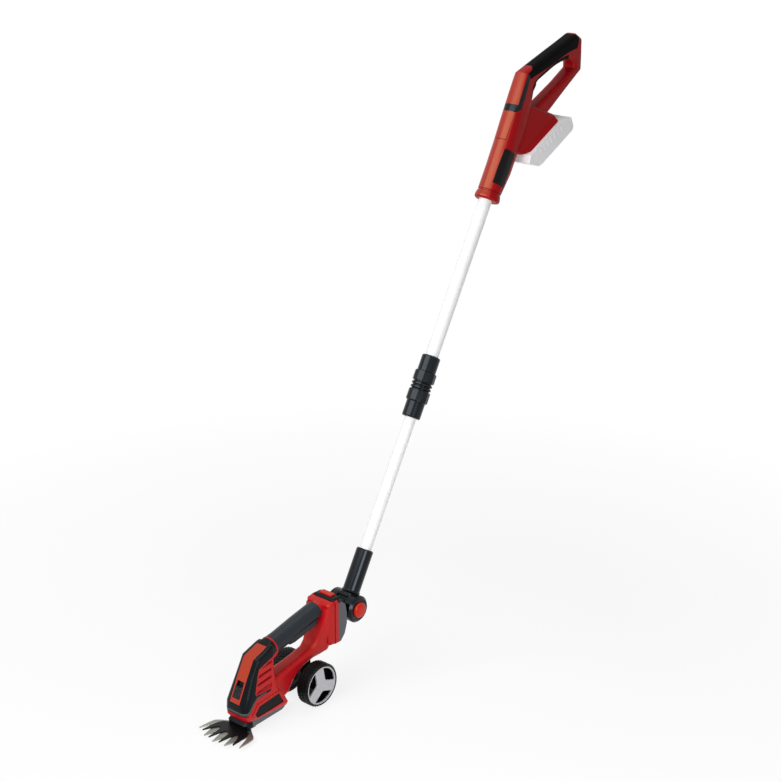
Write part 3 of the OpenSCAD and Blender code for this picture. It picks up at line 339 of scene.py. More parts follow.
def mesh_group(name, build):
    """A geometry node group with one mesh in and one out, filled by build."""
    group = bpy.data.node_groups.get(name)
    if group is None:
        group = bpy.data.node_groups.new(name, "GeometryNodeTree")
        for way in ("INPUT", "OUTPUT"):
            group.interface.new_socket(
                "Geometry", in_out=way, socket_type="NodeSocketGeometry")
        start = add(group, "NodeGroupInput")
        add(group, "NodeGroupOutput", {0: build(group, start.outputs[0])})
    return group


def weld_faces(group, mesh):
    """Joins the frame's split vertices, drops the file's normals and shades all faces smooth."""
    plain = add(group, "GeometryNodeRemoveAttribute", {"Geometry": mesh, "Name": "custom_normal"})
    welded = add(group, "GeometryNodeMergeByDistance", {
        "Geometry": plain.outputs[0], "Distance": WELD})
    return add(group, "GeometryNodeSetShadeSmooth", {"Geometry": welded.outputs[0]}).outputs[0]


def crease_edges(group, mesh):
    """Drops faces that a held-back bevel left without width, and keeps steep edges sharp."""
    steep = math.radians(40)
    joined_mesh = add(group, "GeometryNodeMergeByDistance", {"Geometry": mesh, "Distance": WELD})
    angle = add(group, "GeometryNodeInputMeshEdgeAngle")
    sharp = add(group, "FunctionNodeCompare", {0: angle.outputs[0], 1: steep},
                data_type="FLOAT", operation="GREATER_THAN")
    return add(group, "GeometryNodeSetShadeSmooth", {
        "Geometry": joined_mesh.outputs[0], "Selection": sharp.outputs[0], "Shade Smooth": False},
        domain="EDGE").outputs[0]


def front_faces(group, mesh):
    """Gives the faces of the handle's neck that look forward their own finish."""
    place = add(group, "ShaderNodeVectorMath", {
        0: add(group, "GeometryNodeInputPosition").outputs[0], 1: HANDLE.translation},
        operation="SUBTRACT").outputs["Vector"]
    normal = add(group, "GeometryNodeInputNormal").outputs[0]
    turn = HANDLE.to_3x3()
    # Faces that look forward, ahead of the neck's axis and below the grip
    forward_limit, grip_start = -0.8, 262 * MM
    tests = ((normal, (0, 1, 0), forward_limit), (place, (0, 1, 0), 0),
             (place, (0, 0, 1), grip_start))
    front = None
    for vector, axis, limit in tests:
        along = add(group, "ShaderNodeVectorMath", {0: vector, 1: turn @ Vector(axis)},
                    operation="DOT_PRODUCT")
        test = add(group, "FunctionNodeCompare", {0: along.outputs["Value"], 1: limit},
                   data_type="FLOAT", operation="LESS_THAN").outputs[0]
        front = test if front is None else add(
            group, "FunctionNodeBooleanMath", {0: front, 1: test}).outputs[0]
    return add(group, "GeometryNodeSetMaterial", {
        "Geometry": mesh, "Selection": front, "Material": finishes()["handle_front"]}).outputs[0]


def round_edges(piece, width, segments=2, angle=32, edge_slot=-1, flat_shade=True):
    """Modifiers that weld a piece, merge its flat faces, round its edges and shade it."""
    weld = piece.modifiers.new("weld", "NODES")
    weld.node_group = mesh_group("weld_faces", weld_faces)
    flat = piece.modifiers.new("flat_faces", "DECIMATE")
    flat.decimate_type = "DISSOLVE"
    flat.angle_limit = math.radians(0.3)
    bevel = piece.modifiers.new("edges", "BEVEL")
    bevel.width = width
    bevel.segments = segments
    bevel.limit_method = "ANGLE"
    bevel.angle_limit = math.radians(angle)
    bevel.material = edge_slot
    crease = piece.modifiers.new("creases", "NODES")
    crease.node_group = mesh_group("crease_edges", crease_edges)
    if flat_shade:
        normals = piece.modifiers.new("normals", "WEIGHTED_NORMAL")
        normals.keep_sharp = True


def early_modifier(piece, name, kind):
    """A modifier that stands straight after the weld of a piece with rounded edges."""
    modifier = piece.modifiers.new(name, kind)
    piece.modifiers.move(len(piece.modifiers) - 1, 1)
    return modifier


def dress(names, finish, width, segments=2, angle=32, edge=None, flat_shade=True):
    """Gives frame nodes their finish and rounded edges, and the edges a finish of their own."""
    for name in names:
        piece = NODES[name]
        piece.data.materials.clear()
        piece.data.materials.append(finishes()[finish])
        if edge:
            piece.data.materials.append(finishes()[edge])
        round_edges(piece, width, segments, angle, 1 if edge else -1, flat_shade)


def new_piece(name, points, faces, finish, body, slot):
    """A mesh piece from points in metres in the row frame, riding on a body."""
    mesh = bpy.data.meshes.new(name)
    mesh.from_pydata([tuple(p) for p in points], [], faces)
    shape = bmesh.new()
    shape.from_mesh(mesh)
    bmesh.ops.recalc_face_normals(shape, faces=shape.faces)
    shape.to_mesh(mesh)
    shape.free()
    mesh.materials.append(finishes()[finish])
    piece = bpy.data.objects.new(name, mesh)
    bpy.context.scene.collection.objects.link(piece)
    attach(piece, body)
    return piece


def joined(shapes):
    """Points and faces of several shapes as one."""
    points, faces = [], []
    for shape_points, shape_faces in shapes:
        start = len(points)
        points += shape_points
        faces += [[start + i for i in face] for face in shape_faces]
    return points, faces


def ring_faces(steps, count):
    """Faces that join rings of count points each to the next, and the last to the first."""
    return [(i * count + j, i * count + (j + 1) % count,
             (i + 1) % steps * count + (j + 1) % count, (i + 1) % steps * count + j)
            for i in range(steps) for j in range(count)]


def lathe(profile, steps):
    """Points and faces of a closed profile of (radius, height) turned about the z axis, in mm."""
    turns = [2 * math.pi * i / steps for i in range(steps)]
    points = [Vector((r * math.cos(t), r * math.sin(t), z)) for t in turns for r, z in profile]
    return points, ring_faces(steps, len(profile))


def placed(frame_matrix, points):
    """Points given in mm in one of the machine's frames, in metres in the row frame."""
    return [frame_matrix @ (Vector(p) * MM) for p in points]


def boxes(frame_matrix, corners):
    """Points and faces of blocks given by their low and high corners in mm."""
    return joined([(placed(frame_matrix, product(*zip(low, high))), BLOCK_FACES)
                   for low, high in corners])


def surface(names):
    """A tree of the faces of frame nodes, for finding points on them."""
    meshes = [NODES[name].data for name in names]
    return BVHTree.FromPolygons(*joined([
        ([v.co.copy() for v in mesh.vertices], [p.vertices[:] for p in mesh.polygons])
        for mesh in meshes]))


def hit(tree, start, way):
    """Point and outward normal where a ray meets the surface."""
    point, normal, _index, _distance = tree.ray_cast(start, way)
    if point is None:
        raise RuntimeError("a small part finds no surface to sit on")
    return point, (-normal if normal.dot(way) > 0 else normal)


def ribbon(rows, lift):
    """A closed band over rows of (point, normal): crowned by lift and sunk into the surface."""
    rim, sink = 0.05 * MM, 0.4 * MM
    across = len(rows[0])
    top = [p + n * (lift if 0 < j < across - 1 else rim)
           for row in rows for j, (p, n) in enumerate(row)]
    low = [p - n * sink for row in rows for p, n in row]
    points, under = top + low, len(top)
    faces = []
    for i in range(len(rows) - 1):
        for j in range(across - 1):
            a, b = i * across + j, (i + 1) * across + j
            faces += [(a, b, b + 1, a + 1), (under + a, under + a + 1, under + b + 1, under + b)]
        for j in (0, across - 1):
            a, b = i * across + j, (i + 1) * across + j
            faces.append((a, under + a, under + b, b))
    for i in (0, len(rows) - 1):
        for j in range(across - 1):
            a = i * across + j
            faces.append((a, a + 1, under + a + 1, under + a))
    return points, faces


def screw_shape(radius):
    """A pan head with a six-lobed socket, its seat at z = 0, in mm."""
    steps, points = 48, []
    for i in range(steps):
        turn = 2 * math.pi * i / steps
        lobe = radius * (0.42 + 0.07 * math.cos(6 * turn))
        ring = [(radius, -1.5), (radius, 0.5), (0.86 * radius, 1.2), (0.62 * radius, 1.45),
                (lobe, 1.45), (lobe, 0.2), (2 * NEAR_AXIS, 0.2), (2 * NEAR_AXIS, -1.5)]
        points += [Vector((r * math.cos(turn), r * math.sin(turn), z)) for r, z in ring]
    return points, ring_faces(steps, len(ring))


def sunk_screws(name, spots, way, node, body, depth):
    """Screws at the bottom of round wells, cut into a node where rays along way meet it."""
    tree = surface([node])
    radius = sizes().screw / 2 / MM
    # Room round a screw's head, how far a well's cutter stands out, and the seat above the floor
    room, proud, seat = 0.8, 4, 0.6
    well = [(NEAR_AXIS, -depth), (radius + room, -depth), (radius + room, proud),
            (NEAR_AXIS, proud)]
    screws, wells = [], []
    for spot in spots:
        point, _normal = hit(tree, spot - way * RAY_START, way)
        stand = Matrix.Translation(point) @ (-way).to_track_quat("Z", "Y").to_matrix().to_4x4()
        sunk = stand @ Matrix.Translation((0, 0, (seat - depth) * MM))
        for shapes, place, (points, faces) in (
                (screws, sunk, screw_shape(radius)), (wells, stand, lathe(well, 32))):
            shapes.append((placed(place, points), faces))
    heads = new_piece(name, *joined(screws), "steel", body, "bright_steel")
    round_edges(heads, 0.15 * MM, 1)
    cutter = new_piece(name + "_wells", *joined(wells), "steel", body, "bright_steel")
    cutter.hide_render = True
    cutter.hide_viewport = True
    cut = early_modifier(NODES[node], "wells", "BOOLEAN")
    cut.operation = "DIFFERENCE"
    cut.solver = "EXACT"
    cut.object = cutter


class SHEARS_OT_housings(bpy.types.Operator):
    """Red shells of the head and the handle, the handle's in a deeper red of painted shade, with
    their screws, painted edge highlights and painted shade in their grooves and seam
    """

    bl_idname = "shears.housings"
    bl_label = "Housings"

    def execute(self, context):
        edge = sizes().edge
        # The head's bevels take the painted edge highlight
        dress(["head_shell_left", "head_shell_right"], "red", edge, 3, edge="red_edge")
        # The handle's shells take the deeper red of painted shade
        handle = ["handle_shell_left", "handle_shell_right", "handle_collar"]
        dress(handle, "handle_red", edge, 3)
        for name in handle:
            front = early_modifier(NODES[name], "front", "NODES")
            front.node_group = mesh_group("front_faces", front_faces)
        # The halves are screwed together from the right
        inward, outside, depth = Vector((1, 0, 0)), -40, 3
        head_spots = ((-148, -4), (-82, 2), (-104, 44), (-20, 40), (47, 66), (47, 122))
        sunk_screws("head_screws", placed(HEAD, [(outside, *spot) for spot in head_spots]),
                    inward, "head_shell_right", "head", depth)
        handle_spots = ((2, 34), (2, 112), (-2, 176), (66, 330), (112, 330), (74, 228))
        sunk_screws("handle_screws", placed(HANDLE, [(outside, *spot) for spot in handle_spots]),
                    inward, "handle_shell_right", "handle", depth)
        self.rib_groove_shade()
        self.panel_seam_shade()
        return {"FINISHED"}

    def rib_groove_shade(self):
        """Dark red inlays of painted shade in the grooves between the ribs on both sides of the
        nose.
        """
        start_y, tilt, outside, steps = -138.5, math.radians(7), 90, 8
        # Each groove: height of its rib's foot, middle above that foot, start and end along it
        grooves = ((35, -1.7, 5, 34), (35, 11.2, 8, 38), (48.6, 11.2, 12, 40), (62.2, 11.2, 31, 40))
        for name, side in SIDES:
            tree = surface(["head_shell_" + name])
            way = Vector((-side, 0, 0))
            shapes = []
            for foot, middle, start, end in grooves:
                rows = []
                for i in range(steps + 1):
                    along = start + (end - start) * i / steps
                    row = []
                    for across in (-1.5, -1.2, 0, 1.2, 1.5):
                        y = start_y + along * math.cos(tilt) - (middle + across) * math.sin(tilt)
                        z = foot + along * math.sin(tilt) + (middle + across) * math.cos(tilt)
                        row.append(hit(tree, HEAD @ (Vector((side * outside, y, z)) * MM), way))
                    rows.append(row)
                shapes.append(ribbon(rows, 0.2 * MM))
            new_piece(name + "_rib_groove_shade", *joined(shapes), "groove", "head", "red_housing")

    def panel_seam_shade(self):
        """A dark seam of painted shade in the groove round the panel on the neck's front."""
        tree = surface(["handle_shell_left", "handle_shell_right"])
        turn = HANDLE.to_3x3()
        # The seam's lower line, its length up each side, half its width, and where the rays start
        low, length, half, outside, steps = 114.1, 53, 0.45, 60, 8
        path = []
        for _name, side in SIDES:
            stations = [(side * outside, -17.0 - 1.5 * i / steps, low + length * i / steps)
                        for i in range(steps + 1)]
            path.append([(Vector(p), Vector((-side, 0, 0)), Vector((0, half, 0)))
                         for p in stations])
        path.append([(Vector((1.4 * i, -outside, low)), Vector((0, 1, 0)), Vector((0, 0, half)))
                     for i in range(-steps, steps + 1)])
        shapes = []
        for stations in path:
            rows = [[hit(tree, HANDLE @ ((p + across * share) * MM), turn @ way)
                     for share in (-1, -0.6, 0, 0.6, 1)] for p, way, across in stations]
            shapes.append(ribbon(rows, 0.15 * MM))
        new_piece("neck_panel_seam", *joined(shapes), "groove", "handle", "red_housing")


class SHEARS_OT_nose_trim(bpy.types.Operator):
    """Hood, strip, name plates, sole and release slider"""

    bl_idname = "shears.nose_trim"
    bl_label = "Nose trim"

    def execute(self, context):
        fine = sizes().fine_edge
        # The hood's wide bevels take the grey painted edge highlight
        dress(["nose_hood"], "black", 2.4 * fine, 3, edge="black_edge")
        # The strip swells over the bend of the nose
        dress(["nose_strip"], "strip", fine, angle=60, flat_shade=False)
        dress(["head_badge", "handle_badge"], "plate", fine)
        dress(["base_plate"], "grey", fine)
        # The slider's edges take the grey painted edge highlight
        dress(["release_slider"], "black", 0.5 * fine, edge="black_edge")
        self.track_shade_liner()
        self.hood_rim_highlight()
        below, depth = -60, 2
        spots = [(x, y, below) for x in (-14, 14) for y in (-100, -72)]
        sunk_screws("sole_screws", placed(HEAD, spots), Vector((0, 0, 1)), "base_plate", "head",
                    depth)
        return {"FINISHED"}

    def track_shade_liner(self):
        """A black tray of painted shade that lines the slider's track, where its recess lies in
        shadow.
        """
        half, low, high, floor, wall, rim = 8.07, 9.74, 40.56, -3.87, 0.12, -0.4
        tray = boxes(SLOPE, [
            ((-half, low, floor), (half, high, floor + 0.4)),
            ((-half, low, floor), (wall - half, high, rim)),
            ((half - wall, low, floor), (half, high, rim)),
            ((-half, low, floor), (half, low + wall, rim)),
            ((-half, high - wall, floor), (half, high, rim))])
        new_piece("slider_track_liner", *tray, "black", "head", "black_moulding")

    def hood_rim_highlight(self):
        """A grey band of painted highlight on the hood's rounded lower edge, from one arm round the
        front to the other.
        """
        tree = surface(["nose_hood", "head_shell_left", "head_shell_right"])
        # Lower edge of the hood in the side view, from the front to the arm's end, with the
        # band's width
        edge = [(-190, 0.3, 5.0), (-161, 0.3, 5.0), (-154, 5.8, 5.0), (-146, 15.8, 4.4),
                (-138.5, 23.2, 3.4), (-106, 26.4, 2.4)]
        hub_y, steps, step_turn, passes = -140, 45, 3, 6
        rows = []
        for step in range(-steps, steps + 1):
            angle = math.radians(step * step_turn)
            way = Vector((-math.sin(angle), math.cos(angle), 0))
            # The band's height depends on where the ray lands, so it is found in a few passes
            rise, width = 8.0, 5.0
            for _pass in range(passes):
                start = HEAD @ (Vector((0, hub_y, rise + width / 2)) * MM) - way * RAY_START
                along = (hit(tree, start, way)[0].y - HEAD.translation.y) / MM
                for (y0, z0, w0), (y1, z1, w1) in zip(edge, edge[1:]):
                    if y0 <= along <= y1:
                        share = (along - y0) / (y1 - y0)
                        rise, width = z0 + (z1 - z0) * share, w0 + (w1 - w0) * share
            starts = [HEAD @ (Vector((0, hub_y, rise + share * width)) * MM) - way * RAY_START
                      for share in (0, 0.15, 0.5, 0.85, 1)]
            rows.append([hit(tree, start, way) for start in starts])
        band = new_piece("hood_rim_highlight", *ribbon(rows, 0.35 * MM), "black_edge", "head",
                         "black_moulding")
        round_edges(band, 0.1 * MM, 1)


class SHEARS_OT_grips(bpy.types.Operator):
    """Soft grips, triggers, and the band and lining of the handle"""

    bl_idname = "shears.grips"
    bl_label = "Grips"

    def execute(self, context):
        edge = sizes().edge
        dress(["head_grip", "head_trigger"], "grip", edge, 3)
        dress(["handle_grip", "handle_trigger"], "handle_grip", edge, 3)
        # The band's edges take the grey painted edge highlight
        dress(["handle_band"], "gloss", 2 * sizes().fine_edge, edge="black_edge")
        for name, side in SIDES:
            self.loop_lining(name, side)
        return {"FINISHED"}

    def loop_lining(self, name, side):
        """A soft black lip along the loop's front wall and the lower edge of its top bar."""
        tree = surface(["handle_shell_" + name])
        way = Vector((-side, 0, 0))
        # Points inside the loop with the way to its edge, from the foot of the front wall to the
        # back: up the wall, round the corner and along the bar
        spots = [((24 + 0.3 * i, 204 + 4.5 * i), 180) for i in range(8)]
        spots += [((30 + i, 236 + 2 * i), 180 - 7.5 * i) for i in range(1, 6)]
        spots += [((37 + 8.2 * i, 248 + 8.6 * i), 136.5) for i in range(8)]
        # Rays start outside and look no further than the middle plane, in steps towards the edge
        outside, look, steps, step = 60, 0.06, 120, 0.5
        rows = []
        for (v, u), turn in spots:
            out = Vector((0, math.cos(math.radians(turn)), math.sin(math.radians(turn))))
            rim = Vector((side * outside, v, u))
            for _step in range(steps):
                if tree.ray_cast(HANDLE @ (rim * MM), way, look)[0] is not None:
                    break
                rim = rim + out * step
            rows.append([hit(tree, HANDLE @ ((rim + out * reach) * MM), way)
                         for reach in (1.0, 2.5, 5.5, 8.5, 9.5)])
        lip = new_piece(name + "_loop_lining", *ribbon(rows, 0.6 * MM), "handle_grip", "handle",
                        "soft_grip")
        round_edges(lip, 0.15 * MM, 1)


class SHEARS_OT_blades(bpy.types.Operator):
    """Comb, cutter, their pin and carrier"""

    bl_idname = "shears.blades"
    bl_label = "Blades"

    def execute(self, context):
        dress(["comb_blade"], "comb", sizes().ground_edge, 1, edge="edge")
        dress(["cutter_blade"], "cutter", sizes().ground_edge, 1)
        dress(["blade_pin"], "steel", sizes().fine_edge)
        dress(["blade_holder"], "black", sizes().edge)
        return {"FINISHED"}


class SHEARS_OT_wheels(bpy.types.Operator):
    """Tyres with tread blocks, covers with star faces, axle and bracket"""

    bl_idname = "shears.wheels"
    bl_label = "Wheels"

    def execute(self, context):
        dress(["left_wheel_cover", "right_wheel_cover"], "wheel", sizes().edge, 3)
        dress(["wheel_bracket"], "black", sizes().edge)
        dress(["wheel_axle"], "steel", sizes().fine_edge)
        for name, side in SIDES:
            self.tyre(name, side)
            self.star(name, side)
        return {"FINISHED"}

    def star(self, name, side):
        """The raised three-armed face of a wheel cover."""
        # Half an arm's width, fillet between arms, an arm's length, and the swell of its end
        half, fillet, reach, swell = 10.0, 6.0, 33.0, 1.2
        arms, first_turn = 3, 70
        # Heights of its back and front over the wheel's inner face
        back, face = 22.3, 26.4
        outline = []
        for arm in range(arms):
            turn = math.radians(first_turn + 120 * arm)
            along = Vector((math.cos(turn), math.sin(turn), 0))
            across = Vector((-math.sin(turn), math.cos(turn), 0))
            outline += [along * reach - across * half, along * (reach + swell),
                        along * reach + across * half]
            # A round inner corner up to the next arm
            bisector = turn + math.pi / 3
            centre = (Vector((math.cos(bisector), math.sin(bisector), 0))
                      * (half + fillet) / math.sin(math.pi / 3))
            for i in range(7):
                angle = turn - math.pi / 2 - math.radians(10 * i)
                outline.append(centre + fillet * Vector((math.cos(angle), math.sin(angle), 0)))
        count = len(outline)
        points = [Vector((p.x, p.y, z)) for z in (back, face) for p in outline]
        faces = [list(range(count)), list(range(count, 2 * count))]
        faces += [(i, (i + 1) % count, count + (i + 1) % count, count + i) for i in range(count)]
        world = [Vector((side * (WHEEL_INNER + p.z), p.y, WHEEL_RADIUS - p.x)) * MM
                 for p in points]
        star = new_piece(name + "_wheel_star", world, faces, "wheel", name + "_wheel",
                         "wheel_grey")
        round_edges(star, 0.9 * MM, 3)

    def tyre(self, name, side):
        """One tyre with its hub and web, and three rows of slanted tread blocks."""
        crown = WHEEL_RADIUS - sizes().tread / MM
        profile = [
            (4.05, 0), (12, 0), (12, 2), (32.5, 2), (32.5, 0.3), (36.2, 0), (37.4, 0.7), (38.3, 2),
            (crown, 3.4), (crown, 23.6), (38.3, 25), (37.6, 26.2), (36.9, 26.9), (36.3, 27),
            (35.8, 26.6), (35.55, 26), (35.55, 22), (32.5, 22), (32.5, 9), (12, 9), (12, 22),
            (4.05, 22)]
        shapes = [lathe(profile, 96)]
        count = sizes().tread_blocks
        pitch = 2 * math.pi / count
        # Half a block's length as a share of the pitch, how far its root is sunk, and its taper
        half, root, taper = 0.36, 0.6, 0.84
        # Each row: its low and high side across the tyre, and the slant of its blocks
        for row, (low, high, skew) in enumerate(
                ((2.9, 9.3, 0.3), (10.5, 16.5, 0), (17.7, 24.1, -0.3))):
            mid_z = (low + high) / 2
            for i in range(count):
                middle = pitch * (i + 0.5 * (row % 2))
                block = []
                for radius, shrink in ((crown - root, 1), (WHEEL_RADIUS, taper)):
                    for z, lean in ((low, -skew), (high, skew)):
                        for edge in (-half, half):
                            turn = middle + pitch * (edge * shrink + lean)
                            block.append(Vector((radius * math.cos(turn), radius * math.sin(turn),
                                                 mid_z + (z - mid_z) * shrink)))
                shapes.append((block, BLOCK_FACES))
        points, faces = joined(shapes)
        world = [Vector((side * (WHEEL_INNER + p.z), p.x, WHEEL_RADIUS + p.y)) * MM
                 for p in points]
        tyre = new_piece(name + "_tyre", world, faces, "tyre", name + "_wheel", "tyre_black")
        round_edges(tyre, 0.25 * MM, 1)
        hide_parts(name + "_wheel")


class SHEARS_OT_tilt_joint(bpy.types.Operator):
    """Pole socket, press buttons, adapter with its cover and latch"""

    bl_idname = "shears.tilt_joint"
    bl_label = "Tilt joint"

    def execute(self, context):
        edge, fine = sizes().edge, sizes().fine_edge
        dress(["pole_socket"], "gloss", edge, 3)
        dress(["adapter_body"], "black", fine, 3)
        dress(["adapter_cover"], "grey", 2 * edge, 4)
        dress(["adapter_latch"], "button", edge, 3)
        dress(["left_pivot_button", "right_pivot_button"], "button", fine)
        dress(["pivot_pin"], "steel", fine)
        for name, side in SIDES:
            self.tilt_ticks(name, side)
        for name, side in SIDES:
            self.button_pad(name, side)
        self.latch_ribs()
        return {"FINISHED"}

    def tilt_ticks(self, name, side):
        """Three raised ticks low on a disc, which show the tilt steps."""
        tick = ((side * 31.8, -0.8, -20.2), (side * 32.35, 0.8, -16))
        stands = [POLE @ Matrix.Rotation(math.radians(turn), 4, "X") for turn in (-24, 0, 24)]
        ticks = new_piece(name + "_tilt_ticks", *joined([boxes(stand, [tick]) for stand in stands]),
                          "black_edge", "lower_pole", "black_moulding")
        round_edges(ticks, 0.15 * MM, 1)

    def button_pad(self, name, side):
        """A raised round pad on a press button."""
        profile = [(NEAR_AXIS, -0.6), (10.2, -0.6), (10.2, 0.3), (9.4, 0.9), (6, 1.3),
                   (NEAR_AXIS, 1.5)]
        outside = POLE @ Vector((side * 90 * MM, 0, 0))
        point, _normal = hit(surface([name + "_pivot_button"]), outside, Vector((-side, 0, 0)))
        stand = Matrix.Translation(point) @ Matrix.Rotation(side * math.pi / 2, 4, "Y")
        points, faces = lathe(profile, 48)
        pad = new_piece(name + "_button_pad", placed(stand, points), faces, "button",
                        name + "_pivot_button", "red_button")
        round_edges(pad, 0.3 * MM, 2)

    def latch_ribs(self):
        """Three ribs across the adapter's latch, for a thumb."""
        pitch, half = 2.4, 11
        ribs = boxes(HEAD, [((-half, 62.6 + pitch * i, 142.5), (half, 63.8 + pitch * i, 143.2))
                            for i in range(3)])
        grips = new_piece("latch_ribs", *ribs, "button", "adapter_latch", "red_button")
        round_edges(grips, 0.25 * MM, 2)


class SHEARS_OT_pole(bpy.types.Operator):
    """Telescopic tubes and the twist clamp"""

    bl_idname = "shears.pole"
    bl_label = "Pole"

    def execute(self, context):
        dress(["upper_tube", "lower_tube"], "tube", 0.3 * MM)
        dress(["clamp_sleeve", "clamp_nut", "clamp_rings"], "gloss", sizes().fine_edge, 3, 20)
        return {"FINISHED"}


class SHEARS_OT_battery(bpy.types.Operator):
    """Battery case with ribs, base with pads, and latch"""

    bl_idname = "shears.battery"
    bl_label = "Battery"

    def execute(self, context):
        edge = sizes().edge
        dress(["battery_base"], "battery", 2 * edge, 3)
        # The strip above the latch's room is 0.7 mm high, so the case's edges stay finer than that
        dress(["battery_case"], "battery", 0.25 * MM)
        dress(["battery_latch"], "battery", edge)
        pitch, first, length = 12, -30, 5.5
        bars = [((side * 36.9, first + pitch * i, -17),
                 (side * 37.5, first + length + pitch * i, -6))
                for side in (-1, 1) for i in range(7)]
        ribs = new_piece("battery_ribs", *boxes(BATTERY, bars), "battery", "battery",
                         "battery_grey")
        round_edges(ribs, 0.4 * MM, 2)
        half_width, half_length = 9, 5
        pads = [((x - half_width, y - half_length, -37.4), (x + half_width, y + half_length, -36.6))
                for x in (-22, 22) for y in (-26, 20, 62)]
        feet = new_piece("battery_pads", *boxes(BATTERY, pads), "battery_pad", "battery",
                         "battery_grey")
        round_edges(feet, 0.3 * MM, 2)
        return {"FINISHED"}


class SHEARS_OT_inner_works(bpy.types.Operator):
    """Motor, gears, switches, contacts and cells inside the housings"""

    bl_idname = "shears.inner_works"
    bl_label = "Inner works"

    def execute(self, context):
        burr = 0.15 * MM
        dress(["head_motor", "gear_plate", "crank_gear"], "steel", burr, 1)
        dress(["motor_pinion", "handle_contacts", "head_contacts"], "brass", burr, 1)
        dress(["handle_switch", "head_switch"], "black", sizes().fine_edge)
        dress(["battery_cells"], "wrap", sizes().fine_edge)
        return {"FINISHED"}


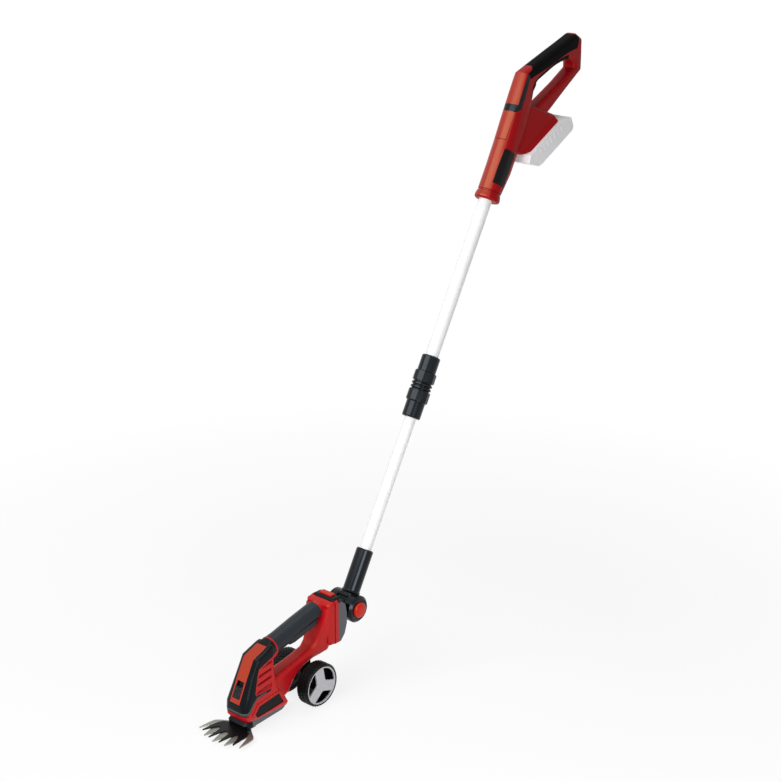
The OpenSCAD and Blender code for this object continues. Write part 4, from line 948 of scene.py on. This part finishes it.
class SHEARS_OT_stage(bpy.types.Operator):
    """Pale floor, soft lamps, white background and the camera"""

    bl_idname = "shears.stage"
    bl_label = "Stage"

    def execute(self, context):
        stage = context.scene.shears_stage
        context.scene.view_settings.view_transform = "Standard"
        self.floor()
        self.world(stage)
        middle, head = Vector((0, 0.24, 0.5)), Vector((0, 0.2, 0.3))
        # A wide soft lamp high in front lays broad highlights on all that faces forward and up
        self.lamp("key_lamp", stage.key, (2.8, 1.4), Vector((-0.26, -1.78, 2.1)), middle)
        self.lamp("fill_lamp", stage.fill, (0.7, 0.7), Vector((1.4, -0.7, 0.6)), head)
        self.lamp("top_lamp", stage.top, (1.0, 1.0), Vector((-0.2, 0.3, 2.6)), middle)
        self.camera(context.scene, stage.lens)
        return {"FINISHED"}

    def camera(self, scene, lens):
        """A camera at the photograph's viewing angle."""
        camera = bpy.data.cameras.new("camera")
        camera.lens = lens
        camera.sensor_width = 36
        eye = bpy.data.objects.new("camera", camera)
        scene.collection.objects.link(eye)
        eye.location = (1.7919, -1.8004, 1.4666)
        aim = Vector((0, 0.24076, 0.51873)) - eye.location
        eye.rotation_euler = aim.to_track_quat("-Z", "Y").to_euler()
        scene.camera = eye

    def lamp(self, name, power, size, place, target):
        """A rectangular lamp of a width and height in metres, aimed at a point."""
        light = bpy.data.lights.new(name, "AREA")
        light.energy = power
        light.shape = "RECTANGLE"
        light.size, light.size_y = size
        lamp = bpy.data.objects.new(name, light)
        bpy.context.scene.collection.objects.link(lamp)
        lamp.location = place
        lamp.rotation_euler = (target - place).to_track_quat("-Z", "Y").to_euler()

    def seen_rays(self, tree):
        """1 where a ray comes from the camera, a reflection or a clear body, 0 for plain light."""
        path = add(tree, "ShaderNodeLightPath").outputs
        shiny = add(tree, "ShaderNodeMath", {
            0: path["Is Glossy Ray"], 1: path["Is Transmission Ray"]}, operation="MAXIMUM")
        return add(tree, "ShaderNodeMath", {
            0: path["Is Camera Ray"], 1: shiny.outputs[0]}, operation="MAXIMUM").outputs[0]

    def world(self, stage):
        """A white background over a weak even light."""
        world = bpy.data.worlds.new("white_studio")
        bpy.context.scene.world = world
        world.use_nodes = True
        tree = world.node_tree
        tree.nodes.clear()
        ambient = add(tree, "ShaderNodeBackground", {"Color": WHITE, "Strength": stage.ambient})
        white = add(tree, "ShaderNodeBackground", {"Color": WHITE, "Strength": 1.0})
        mix = add(tree, "ShaderNodeMixShader", {
            0: self.seen_rays(tree), 1: ambient.outputs[0], 2: white.outputs[0]})
        add(tree, "ShaderNodeOutputWorld", {"Surface": mix.outputs[0]})

    def floor(self):
        """A pale paper floor, mostly seen as plain white, that keeps the object's soft shadow."""
        material, tree = blank_material("paper_sweep_matt_white")
        place = add(tree, "ShaderNodeTexCoord").outputs["Object"]
        # Paper's fibres are about 1 mm, too fine to show, so they are drawn four times as coarse
        fibre_mm = 4
        fibre = add(tree, "ShaderNodeTexNoise", {
            "Vector": place, "Scale": 1 / (fibre_mm * MM), "Detail": 2.0})
        bump = add(tree, "ShaderNodeBump", {
            "Height": fibre.outputs["Fac"], "Strength": 0.2, "Distance": 0.05 * MM})
        paper = add(tree, "ShaderNodeBsdfDiffuse", {
            "Color": linear("#F4F4F4"), "Normal": bump.outputs["Normal"]})
        glow = add(tree, "ShaderNodeEmission", {"Color": WHITE, "Strength": 1.0})
        # The paper fades to plain white between two distances from the object's middle
        middle, fade_start, fade_end, near_share = (0, 0.2, 0), 0.5, 1.4, 0.82
        offset = add(tree, "ShaderNodeVectorMath", {0: place, 1: middle}, operation="SUBTRACT")
        reach = add(tree, "ShaderNodeVectorMath", {0: offset.outputs["Vector"]},
                    operation="LENGTH")
        fade = add(tree, "ShaderNodeMapRange", {
            "Value": reach.outputs["Value"], "From Min": fade_start, "From Max": fade_end,
            "To Min": near_share, "To Max": 1.0})
        share = add(tree, "ShaderNodeMath", {
            0: self.seen_rays(tree), 1: fade.outputs["Result"]}, operation="MULTIPLY")
        mix = add(tree, "ShaderNodeMixShader", {
            0: share.outputs[0], 1: paper.outputs[0], 2: glow.outputs[0]})
        add(tree, "ShaderNodeOutputMaterial", {"Surface": mix.outputs[0]})
        mesh = bpy.data.meshes.new("floor")
        side = 8
        mesh.from_pydata([(-side, -side, 0), (side, -side, 0), (side, side, 0), (-side, side, 0)],
                         [], [(0, 1, 2, 3)])
        mesh.materials.append(material)
        floor = bpy.data.objects.new("floor", mesh)
        bpy.context.scene.collection.objects.link(floor)


STEPS = (SHEARS_OT_stage, SHEARS_OT_housings, SHEARS_OT_nose_trim, SHEARS_OT_grips,
         SHEARS_OT_blades, SHEARS_OT_wheels, SHEARS_OT_tilt_joint, SHEARS_OT_pole,
         SHEARS_OT_battery, SHEARS_OT_inner_works)


class SHEARS_PT_panel(bpy.types.Panel):
    """Lists the steps that build the shears"""

    bl_label = "Grass shears"
    bl_space_type = "VIEW_3D"
    bl_region_type = "UI"
    bl_category = "Shears"

    def draw(self, context):
        for step in STEPS:
            self.layout.operator(step.bl_idname)


GROUPS = {"shears_colours": ShearsColours, "shears_sizes": ShearsSizes,
          "shears_stage": ShearsStage}
CLASSES = (*GROUPS.values(), *STEPS, SHEARS_PT_panel)


def register():
    for kind in CLASSES:
        bpy.utils.register_class(kind)
    for name, group in GROUPS.items():
        setattr(bpy.types.Scene, name, bpy.props.PointerProperty(type=group))


def unregister():
    for name in GROUPS:
        delattr(bpy.types.Scene, name)
    for kind in reversed(CLASSES):
        bpy.utils.unregister_class(kind)


def main():
    register()
    for step in STEPS:
        family, name = step.bl_idname.split(".")
        getattr(getattr(bpy.ops, family), name)()


if __name__ == "__main__":
    main()
